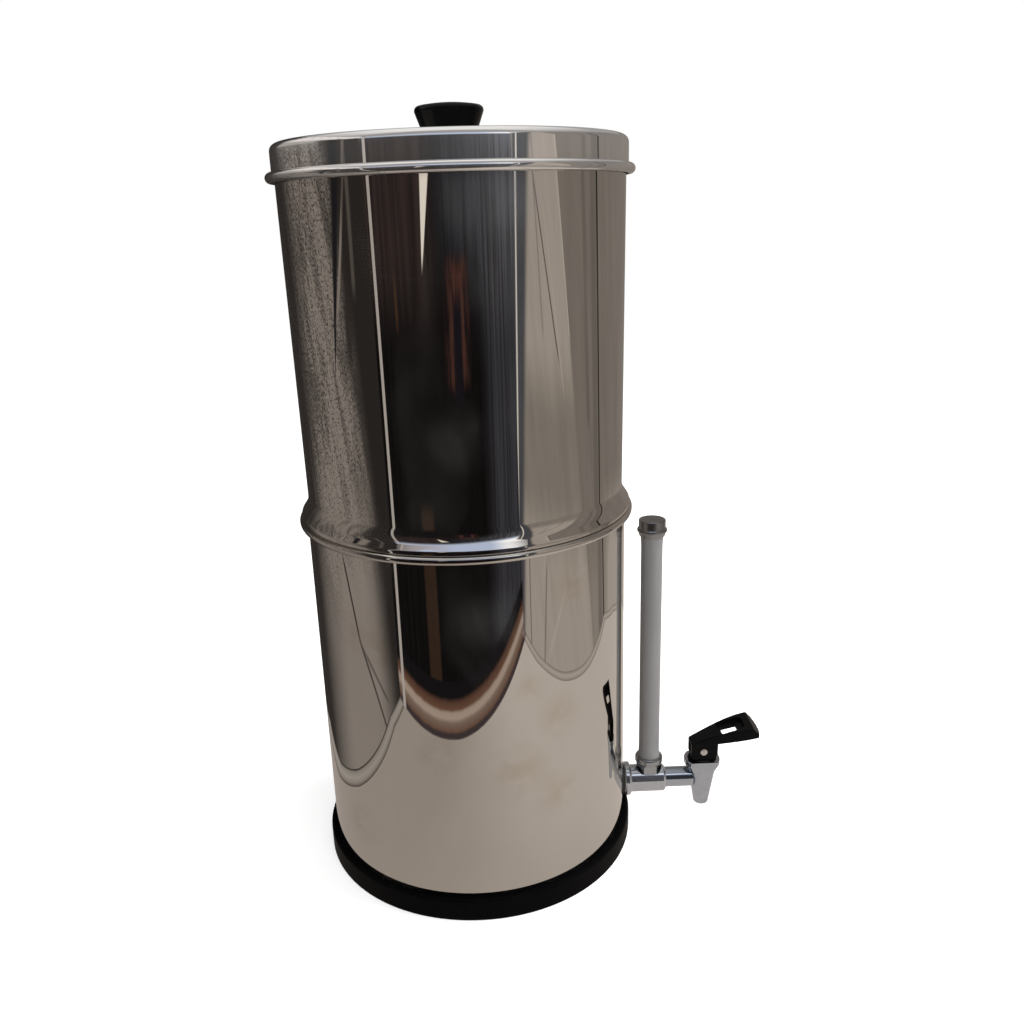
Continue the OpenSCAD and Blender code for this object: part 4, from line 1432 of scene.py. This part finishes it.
    def pin(self) -> Piece:
        """The pin with a domed head at each end, turned along the fork's width.

        Returns:
            The pin's object.
        """
        half, edge = self.fork / 2, self.head_edge
        top = half + self.head_t
        head = joined(line((self.pin_r, half), (self.head_r, half)),
                      arc((self.head_r - edge, top - self.dome - edge), edge, 0, 70, 5),
                      line((0, top)))
        outline = joined(head, (head * (1, -1))[::-1])
        pin = Lathe(axis=Axis.PIPE, steps=64).turn("lever_rivet", outline)
        turn = Matrix.Rotation(math.radians(90 - self.aim), 4, "Z")
        pin.data.transform(Matrix.Translation((0, -self.spout_x * MM, self.pin_z * MM)) @ turn)
        return pin

    def build(self) -> None:
        """Makes the lever with its moulded edges, and the pin."""
        lever = soften("lever_moulded", "lever", voxel=0.30, passes=7)
        fit(lever, LEVER_PLASTIC, "lever", "lever", crease=None)
        fit(self.pin(), CastSteel("steel_pin", "bright_fitting", colour=(0.70, 0.69, 0.68),
                                  rough=0.3, depth=0.002), "lever", "lever_pin")


# ---- Studio -----------------------------------------------------------------------------


def strip(name: str, path: Array, low: float, high: float,
          across: Array | None = None) -> Piece:
    """A strip of cloth or floor along a path, with its length and height as a UV map.

    A point is the path's point at one height, or the other path's point at the other height.
    The map gives the distance along the path and the height, both in metres. Where the second
    edge has points of its own, the map goes from 0 to 0.1 across instead.

    Args:
        name: the strip's name.
        path: points on the floor in millimetres.
        low: the height of the strip's first edge.
        high: the height of its second edge.
        across: the second edge's points, where it doesn't stand over the first.

    Returns:
        The strip's object.
    """
    other = path if across is None else across
    count = len(path)
    points = np.vstack([np.column_stack((edge, np.full(count, height)))
                        for edge, height in ((path, low), (other, high))])
    first = np.arange(count - 1)
    faces = np.column_stack((first, first + 1, first + 1 + count, first + count))
    made = make_object(name, points, faces.tolist())
    length = np.concatenate(([0], np.cumsum(np.linalg.norm(np.diff(path, axis=0), axis=1))))
    heights = (low, high) if across is None else (0.0, 100.0)
    table = np.vstack([np.column_stack((length, np.full(count, v))) for v in heights]) * MM
    layer = made.data.uv_layers.new(name="UVMap")
    layer.data.foreach_set("uv", table[faces.ravel()].astype(np.float32).ravel())
    return made


def square(reach: float, height: float) -> tuple[Array, float, float, Array]:
    """What strip() needs for a level square that reaches so far each way."""
    return (line((-reach, -reach), (reach, -reach)), height, height,
            line((-reach, reach), (reach, reach)))


LOWEST, HIGHEST = -50.0, 1000.0


@dataclass(frozen=True)
class Streak:
    """A fold, seam or far thing on a strip of the tent: a band that may lean and spread. A fold's
    band is its painted shade or painted highlight.

    At a height above or below its own, the middle moves by the lean times the difference, and
    half the width grows by the spread times the difference. All sizes are millimetres.
    A low or high end softens over twice the fade; without one the band goes on.
    """

    place: float
    height: float
    half: float
    colour: Colour
    lean: float = 0.0
    spread: float = 0.0
    low: float = LOWEST
    high: float = HIGHEST
    soft: float = 0.5
    strength: float = 1.0
    fade: float = 12.0

    def mask(self, u: Signal, v: Signal) -> Signal:
        """1 on the band and 0 off it.

        Args:
            u: the distance along the strip, in metres.
            v: the height on it, in metres.

        Returns:
            The streak's share.
        """
        rise = v - self.height * MM
        off = (u - (self.place * MM + rise * self.lean)).size()
        half = self.half * MM + rise * self.spread if self.spread else self.half * MM
        share = off / half
        band = share.eased(1.0 + self.soft, 1.0 - self.soft)
        low, high, fade = self.low * MM, self.high * MM, self.fade * MM
        if self.low > LOWEST:
            band = band * v.eased(low - fade, low + fade)
        if self.high < HIGHEST:
            band = band * v.eased(high + fade, high - fade)
        return band * self.strength


class Card:
    """A strip of the tent, glowing with painted light and shade. Only gloss and glass see it, so
    it neither lights nor shades.
    """

    def __init__(self, name: str, path: Array, low: float, high: float,
                 across: Array | None = None) -> None:
        """Makes the strip as strip() does, and starts its recipe.

        Args:
            name: the strip's and its material's name.
            path: points on the floor in millimetres.
            low: the height of the strip's first edge.
            high: the height of its second edge.
            across: the second edge's points, where it has its own.
        """
        card = strip(name, path, low, high, across)
        self.recipe = Recipe(bpy.data.materials.new(name))
        card.data.materials.append(self.recipe.owner)
        card.visible_camera = card.visible_diffuse = card.visible_shadow = False
        card.visible_volume_scatter = False
        LOG.info("%s: stage, seen in reflections", name)

    @cached_property
    def along(self) -> tuple[Signal, Signal]:
        """The distance along the strip and the height on it, in metres."""
        return self.recipe.parts(self.recipe.node("ShaderNodeUVMap"))[:2]

    def weave(self, wide: float, tall: float, skew: float = 0.0) -> Signal:
        """Noise on the strip, in grains of this width and height that may lean.

        Args:
            wide: the grains' width in millimetres.
            tall: their height in millimetres.
            skew: how far they lean along the strip for each step up.

        Returns:
            The noise.
        """
        u, v = self.along
        where = self.recipe.node("ShaderNodeCombineXYZ", inputs={
            0: (u + v * skew) / (wide * MM), 1: v / (tall * MM), 2: 0.0})
        return self.recipe.texture(where, 1.0 / MM, "2D", Detail=2.0)

    def drawn(self, colour: Signal, streaks: Iterable[Streak]) -> Signal:
        """The colour with streaks laid over it, one after another.

        Args:
            colour: the colour below.
            streaks: what is laid over it.

        Returns:
            The colour of all of them.
        """
        for streak in streaks:
            colour = self.recipe.blend(streak.mask(*self.along), colour, streak.colour)
        return colour

    def glow(self, colour: Signal | Colour) -> None:
        """Lets the strip glow in a colour, as painted light."""
        value = colour if isinstance(colour, Signal) else (*colour, 1.0)
        self.recipe.finish(self.recipe.node("ShaderNodeEmission", inputs={"Color": value}))


@dataclass
class Tent:
    """The light tent that the steel mirrors: cloth walls, an open front and a bright top, all
    glowing with painted light and shade.
    """

    height: float = 640.0
    reach: float = 700.0
    left: Path = ((400, -40), (330, 60), (127, 180), (32, 178), (-49, 200), (-149, 233),
                  (-214, 258), (-277, 262))
    right: Path = ((-450, -293), (-342, -310), (-205, -346), (-60, -393), (55, -437),
                   (127, -470), (230, -430), (360, -330), (400, -40))
    sill_line: Path = ((-228, 448), (-275, 259), (-328, 43), (-413, -249), (-432, -318),
                       (-487, -518))
    post: Path = ((-272.5, 264), (-277, 252))
    left_roll: float = 27.0
    right_roll: float = 20.0
    sill_width: float = 110.0
    hem_height: float = 0.4
    ground_height: float = 0.2
    room_foot: float = -5.0
    post_foot: float = 0.5

    def beyond(self, path: Path, width: float) -> Array:
        """The path moved outwards by a width."""
        points = line(*path)
        return thickened(points, width)[::-1][:len(points)]

    def left_wall(self) -> None:
        """The left wall: coarse cloth, darker at the back end, with painted shade at its front
        corner and higher up, painted shade and highlights along folds towards the front, and a
        painted lit patch near the top.
        """
        card = Card("tent_left", self.beyond(self.left, self.left_roll), 0.0, self.height)
        recipe, (u, v) = card.recipe, card.along
        coarse, fine = card.weave(7.0, 3.6, 0.8), card.weave(3.4, 1.7, -0.6)
        high = v.eased(0.09, 0.30)
        grain = 1.0 + high * (2.0 * (coarse - 0.5) + 3.4 * (fine - 0.5))
        # Painted shade: dark before 0.43 m and beyond the edge line, where the front corner lies
        # in shade, and darker higher up.
        edge = 0.740 - 0.26 * v
        light = (u.eased(0.43, 0.57) * 0.97 + 0.03) * (u - edge).eased(0.06, -0.06)
        drift = card.weave(26.0, 90.0, 0.35).eased(0.3, 0.7)
        light = light * (1.0 - 0.30 * v.eased(0.12, 0.42)) * grain
        light = light * (1.0 + high * (0.9 * drift - 0.45))
        sag = recipe.noise(60, 2, stretch=(1, 1, 4))
        cloth = recipe.blend(light * (0.84 + 0.32 * sag), (0.028, 0.024, 0.022),
                             (0.30, 0.262, 0.238))
        pale, dark, ink = (0.26, 0.225, 0.20), (0.030, 0.024, 0.022), (0.016, 0.015, 0.017)
        # Painted shade and highlights of the folds, and a painted bright band near the top at 535
        # mm.
        cloth = card.drawn(cloth, (
            Streak(634, 410, 9, ink, lean=0.45, spread=0.10, low=330),
            Streak(660, 418, 5, pale, lean=0.74, low=370),
            Streak(680, 400, 16, dark, lean=0.30, low=330, strength=0.7),
            Streak(535, 520, 75, (0.50, 0.47, 0.44), low=497, soft=0.3, strength=0.85),
            Streak(713, 430, 9, pale, lean=0.10, low=385, strength=0.3),
            Streak(594, 144, 2.4, dark, lean=-0.5, low=112, high=190),
            Streak(656, 58, 3.0, dark, lean=-0.85, high=112, strength=0.8),
            Streak(676, 58, 3.0, dark, lean=-1.25, low=18, high=96, strength=0.6)))
        # Painted highlight: a lit patch of crumpled cloth near the top.
        crumpled = card.weave(30.0, 16.0, 0.5)
        lit = v.eased(0.53, 0.57) * u.eased(0.40, 0.52) * crumpled.eased(0.25, 0.45)
        card.glow(recipe.blend(lit, cloth, (0.95, 0.89, 0.87)))

    def right_wall(self) -> None:
        """The right wall: brighter cloth with long creases, and a corner at the back. Its light
        is painted: a lit panel with a darker middle band, creases as painted shade and highlight
        lines, a painted highlight line at the front edge and painted shade in the back corner.
        """
        card = Card("tent_right", self.beyond(self.right, self.right_roll), 0.0, self.height)
        u, v = card.along
        fine, slow = card.weave(5.0, 26.0, 0.3), card.weave(40.0, 160.0, 0.4)
        middle = (v - 0.215).size().eased(0.12, 0.03)
        panel = (u - (0.283 - 0.44 * (v - 0.415))).eased(0.006, -0.006)
        near = panel * (0.98 - 0.40 * middle)
        low = v.eased(0.17, 0.05)
        far = (1.0 - panel) * (0.50 + 0.16 * low + 0.45 * low * u.eased(0.60, 0.70))
        light = (near + far) * (0.86 + 0.28 * slow) * (0.92 + 0.16 * fine)
        cloth = card.recipe.blend(light, (0.010, 0.009, 0.009), (0.45, 0.395, 0.35))
        pale, dark, blue = (0.52, 0.46, 0.40), (0.13, 0.112, 0.10), (0.078, 0.078, 0.088)
        # Painted highlight line at 12 mm, painted shade and highlights along the creases, painted
        # shade in the back corner at 505 to 543 mm.
        card.glow(card.drawn(cloth, (
            Streak(15, 290, 55, blue, lean=0.20, soft=0.3),
            Streak(12, 290, 5.0, (0.80, 0.75, 0.70), lean=0.10),
            Streak(267, 450, 3.0, pale, lean=-0.44, low=330),
            Streak(200, 389, 3.0, dark, lean=-0.76, low=310, high=470),
            Streak(222, 389, 3.0, pale, lean=-0.60, low=280, high=450, strength=0.6),
            Streak(150, 430, 3.0, dark, lean=-0.30, low=330, strength=0.5),
            Streak(62, 60, 4.0, dark, low=-40, high=110, strength=0.7),
            Streak(160, 55, 4.0, dark, lean=0.2, high=110, strength=0.6),
            Streak(225, 50, 6.0, pale, lean=1.2, low=10, high=90, strength=0.6),
            Streak(415, 400, 12, dark, lean=-0.2, low=240, strength=0.5),
            Streak(505, 306, 26, dark, lean=-0.17, strength=0.55),
            Streak(543, 306, 8, (0.03, 0.027, 0.025), lean=-0.19, soft=0.3))))

    def room(self) -> None:
        """The dark room beyond the open front, with a few dim things in it, a painted bright
        streak and painted bluish light from above.
        """
        card = Card("tent_room", self.beyond(self.sill_line, self.sill_width),
                    self.room_foot, self.height)
        recipe, (u, v) = card.recipe, card.along
        drape = card.weave(16.0, 300.0)
        dim = recipe.blend(u.eased(0.60, 0.72), (0.0058, 0.0055, 0.0055),
                           (0.050, 0.050, 0.060))
        for share, colour in (
                (v.eased(0.30, 0.42) * u.eased(0.46, 0.36), (0.044, 0.031, 0.029)),
                (v.eased(0.34, 0.46) * u.eased(0.38, 0.50), (0.040, 0.042, 0.050)),
                (v.eased(0.28, 0.45) * u.eased(0.52, 0.80), (0.120, 0.120, 0.135))):
            dim = recipe.blend(share, dim, colour)
        room = recipe.blend(drape.eased(0.35, 0.75) * 0.7, dim, (0.012, 0.010, 0.010))
        torn = card.weave(14.0, 60.0).eased(0.30, 0.62)
        red = recipe.blend(torn, (0.016, 0.012, 0.013), (0.082, 0.035, 0.027))
        room = card.drawn(room, (
            Streak(318, 100, 28, (0.040, 0.024, 0.016), high=170, soft=0.2),
            Streak(503, 340, 44, red, lean=0.12, low=286, high=400, soft=0.6),
            Streak(500, 320, 18, (0.012, 0.010, 0.014), lean=0.05, low=270, high=365),
            Streak(228, 362, 6, (0.08, 0.042, 0.022), low=340, high=385, strength=0.7),
            # Painted highlight: a bright streak in the room.
            Streak(374, 433, 9.5, (0.96, 0.89, 0.80), lean=0.36, spread=0.20, low=396,
                   high=478, soft=0.15)))
        # Painted light: bluish light from above fills the room's top.
        card.glow(recipe.blend(v.eased(0.50, 0.64), room, (0.62, 0.71, 0.92)))

    def hem(self, name: str, path: Path, width: float,
            tones: Sequence[tuple[float, Colour]]) -> None:
        """A hem on the floor, glowing with painted light and shade across it.

        Args:
            name: the hem's name.
            path: its inner edge.
            width: its width.
            tones: places across it, from 0 inside to 1 outside, and the colours there.
        """
        card = Card(name, line(*path), self.hem_height, self.hem_height,
                    self.beyond(path, width))
        uneven = card.weave(22.0, 60.0) - 0.5
        card.glow(card.recipe.node("ShaderNodeValToRGB", {"stops": tones},
                                   {0: card.along[1] * 10.0 + 0.03 * uneven}))

    def top(self) -> None:
        """The top, glowing with painted light: dim behind, brighter over the lid, and a bright
        blue strip at the front.
        """
        recipe = (card := Card("tent_top", *square(self.reach, self.height))).recipe
        x, y, _ = recipe.parts(recipe.place())
        spread = recipe.noise(180, 1)
        front = x.eased(-0.62, -0.36) * (0.85 + 0.3 * spread) * y.size().eased(0.45, 0.25)
        over = x.eased(-0.21, -0.13) * x.eased(0.10, 0.0) * y.size().eased(0.30, 0.05)
        light = recipe.blend(front, (0.13, 0.122, 0.12), (0.36, 0.35, 0.355))
        sky = recipe.blend(y.eased(0.02, 0.28), (0.60, 0.70, 0.94), (0.52, 0.48, 0.52))
        sky = recipe.blend(y.eased(-0.12, -0.25), sky, (1.30, 1.32, 1.36))
        light = recipe.blend(x.eased(-0.33, -0.40), light, sky)
        card.glow(recipe.blend(over, light, (0.98, 0.97, 0.96)))

    def ground(self) -> None:
        """The cloth under the filter, glowing with painted light, brighter on the tap's side."""
        recipe = (card := Card("tent_ground", *square(self.reach, self.ground_height))).recipe
        y = recipe.parts(recipe.place())[1]
        share = y.eased(-0.21, 0.13) + 0.25 * (recipe.noise(70, 2) - 0.5)
        card.glow(recipe.blend(share, (0.590, 0.530, 0.480), (0.385, 0.335, 0.300)))

    def build(self) -> None:
        """Puts the tent up."""
        self.left_wall()
        self.right_wall()
        self.room()
        self.ground()
        # Painted shade and highlight: each hem is a lit roll, with painted shadow lines at its
        # edges and a painted highlight along its middle.
        hem_shadow, edge = (0.05, 0.042, 0.038), (0.20, 0.17, 0.15)
        self.hem("tent_left_hem", self.left, self.left_roll,
                 ((0.0, hem_shadow), (0.10, edge), (0.24, (0.32, 0.29, 0.26)),
                  (0.5, (0.40, 0.365, 0.33)), (0.84, (0.30, 0.27, 0.24)), (0.95, hem_shadow)))
        self.hem("tent_right_hem", self.right, self.right_roll,
                 ((0.0, (0.22, 0.19, 0.17)), (0.2, (0.40, 0.35, 0.31)),
                  (0.55, (0.50, 0.45, 0.40)), (0.85, (0.38, 0.33, 0.29)),
                  (1.0, (0.17, 0.15, 0.13))))
        self.hem("tent_sill", self.sill_line, self.sill_width,
                 ((0.0, (0.16, 0.13, 0.12)), (0.025, (0.055, 0.042, 0.046)),
                  (0.09, (0.06, 0.045, 0.045)), (0.13, (0.17, 0.095, 0.070)),
                  (0.27, (0.24, 0.175, 0.14)), (0.34, (0.45, 0.355, 0.295)),
                  (0.43, (0.42, 0.33, 0.275)), (0.49, (0.16, 0.085, 0.055)),
                  (0.61, (0.11, 0.055, 0.038)), (0.70, (0.010, 0.009, 0.010))))
        # Painted highlight: the front post is a thin glowing strip.
        post = Card("tent_post", line(*self.post), self.post_foot, self.height)
        post.glow((0.50, 0.46, 0.43))
        self.top()


@dataclass
class Studio:
    """Floor, surroundings, lamps and camera."""

    camera_at: Point = (-0.62787, -0.02193, 0.44299)
    camera_turn: Point = (72.56771, 1.71596, -91.36053)
    lens: float = 33.334
    sensor: float = 36.0
    clip: tuple[float, float] = (0.01, 20.0)
    floor_reach: float = 6000.0
    level: float = 0.58
    floor_glow: float = 0.44

    def camera(self) -> None:
        """Puts the camera up, turned from straight down by three angles in degrees."""
        data = bpy.data.cameras.new("camera")
        data.lens, data.sensor_width = self.lens, self.sensor
        data.clip_start, data.clip_end = self.clip
        camera = bpy.data.objects.new("camera", data)
        turn = Euler([math.radians(angle) for angle in self.camera_turn])
        camera.matrix_world = Matrix.LocRotScale(Vector(self.camera_at), turn, None)
        bpy.context.scene.collection.objects.link(camera)
        bpy.context.scene.camera = camera

    def seen(self, recipe: Recipe) -> Signal:
        """1 where the camera, gloss or glass looks, and 0 for scattered light.

        Args:
            recipe: the recipe that the nodes go into.

        Returns:
            The signal.
        """
        kinds = [recipe.node("ShaderNodeLightPath", out=f"Is {kind} Ray")
                 for kind in ("Camera", "Glossy", "Transmission")]
        return (kinds[0] + kinds[1] + kinds[2]) > 0.5

    def floor(self) -> None:
        """A plain pale floor, white where it is seen and no shadow falls."""
        floor = strip("floor", *square(self.floor_reach, 0.0))
        recipe = Recipe(bpy.data.materials.new("floor_white"))
        seen = self.seen(recipe)
        colour = recipe.blend(seen, (0.80, 0.80, 0.80), (1.0, 1.0, 1.0))
        matt = recipe.node("ShaderNodeBsdfDiffuse", inputs={"Color": colour})
        lift = recipe.node("ShaderNodeEmission", inputs={"Strength": seen * self.floor_glow})
        recipe.finish(recipe.node("ShaderNodeAddShader", inputs={0: matt, 1: lift}))
        floor.data.materials.append(recipe.owner)

    def world(self) -> None:
        """White where it is seen, and a plain level of light elsewhere."""
        world = bpy.data.worlds.new("white")
        bpy.context.scene.world = world
        recipe = Recipe(world)
        strength = self.level + (1.0 - self.level) * self.seen(recipe)
        recipe.finish(recipe.node("ShaderNodeBackground",
                                  inputs={"Color": (1.0, 1.0, 1.0, 1.0),
                                          "Strength": strength}))

    def lamp(self, name: str, place: Sequence[float], aim: Sequence[float], size: float,
             watts: float) -> None:
        """A soft square lamp that gloss doesn't see.

        Args:
            name: the lamp's name.
            place: where it hangs, in metres.
            aim: the point that it faces.
            size: its side in metres.
            watts: its power.
        """
        data = bpy.data.lights.new(name, "AREA")
        data.energy, data.size = watts, size
        lamp = bpy.data.objects.new(name, data)
        turn = (Vector(place) - Vector(aim)).to_track_quat("Z", "Y")
        lamp.matrix_world = Matrix.LocRotScale(Vector(place), turn, None)
        lamp.visible_glossy = False
        bpy.context.scene.collection.objects.link(lamp)

    def build(self) -> None:
        """Sets up the studio."""
        bpy.context.scene.view_settings.view_transform = "Standard"
        self.camera()
        self.floor()
        self.world()
        self.lamp("lamp_right", (0.1, -1.2, 1.3), (0, -0.1, 0.2), 1.2, 24.0)
        self.lamp("lamp_front", (-1.0, -0.2, 1.2), (0, 0, 0.2), 0.9, 5.0)
        Tent().build()


# ---- The whole filter -------------------------------------------------------------------


def main() -> None:
    """Builds the studio and every piece of the filter."""
    logging.basicConfig(level=logging.INFO, format="%(name)s %(message)s")
    vessel = Vessel()
    Studio().build()
    BaseRing(vessel).build()
    LowerChamber(vessel).build()
    UpperChamber(vessel).build()
    Lid(vessel).build()
    Candles().build()
    Tee().build()
    LevelGauge().build()
    Tap().build()
    Lever().build()


if __name__ == "__main__":
    main()
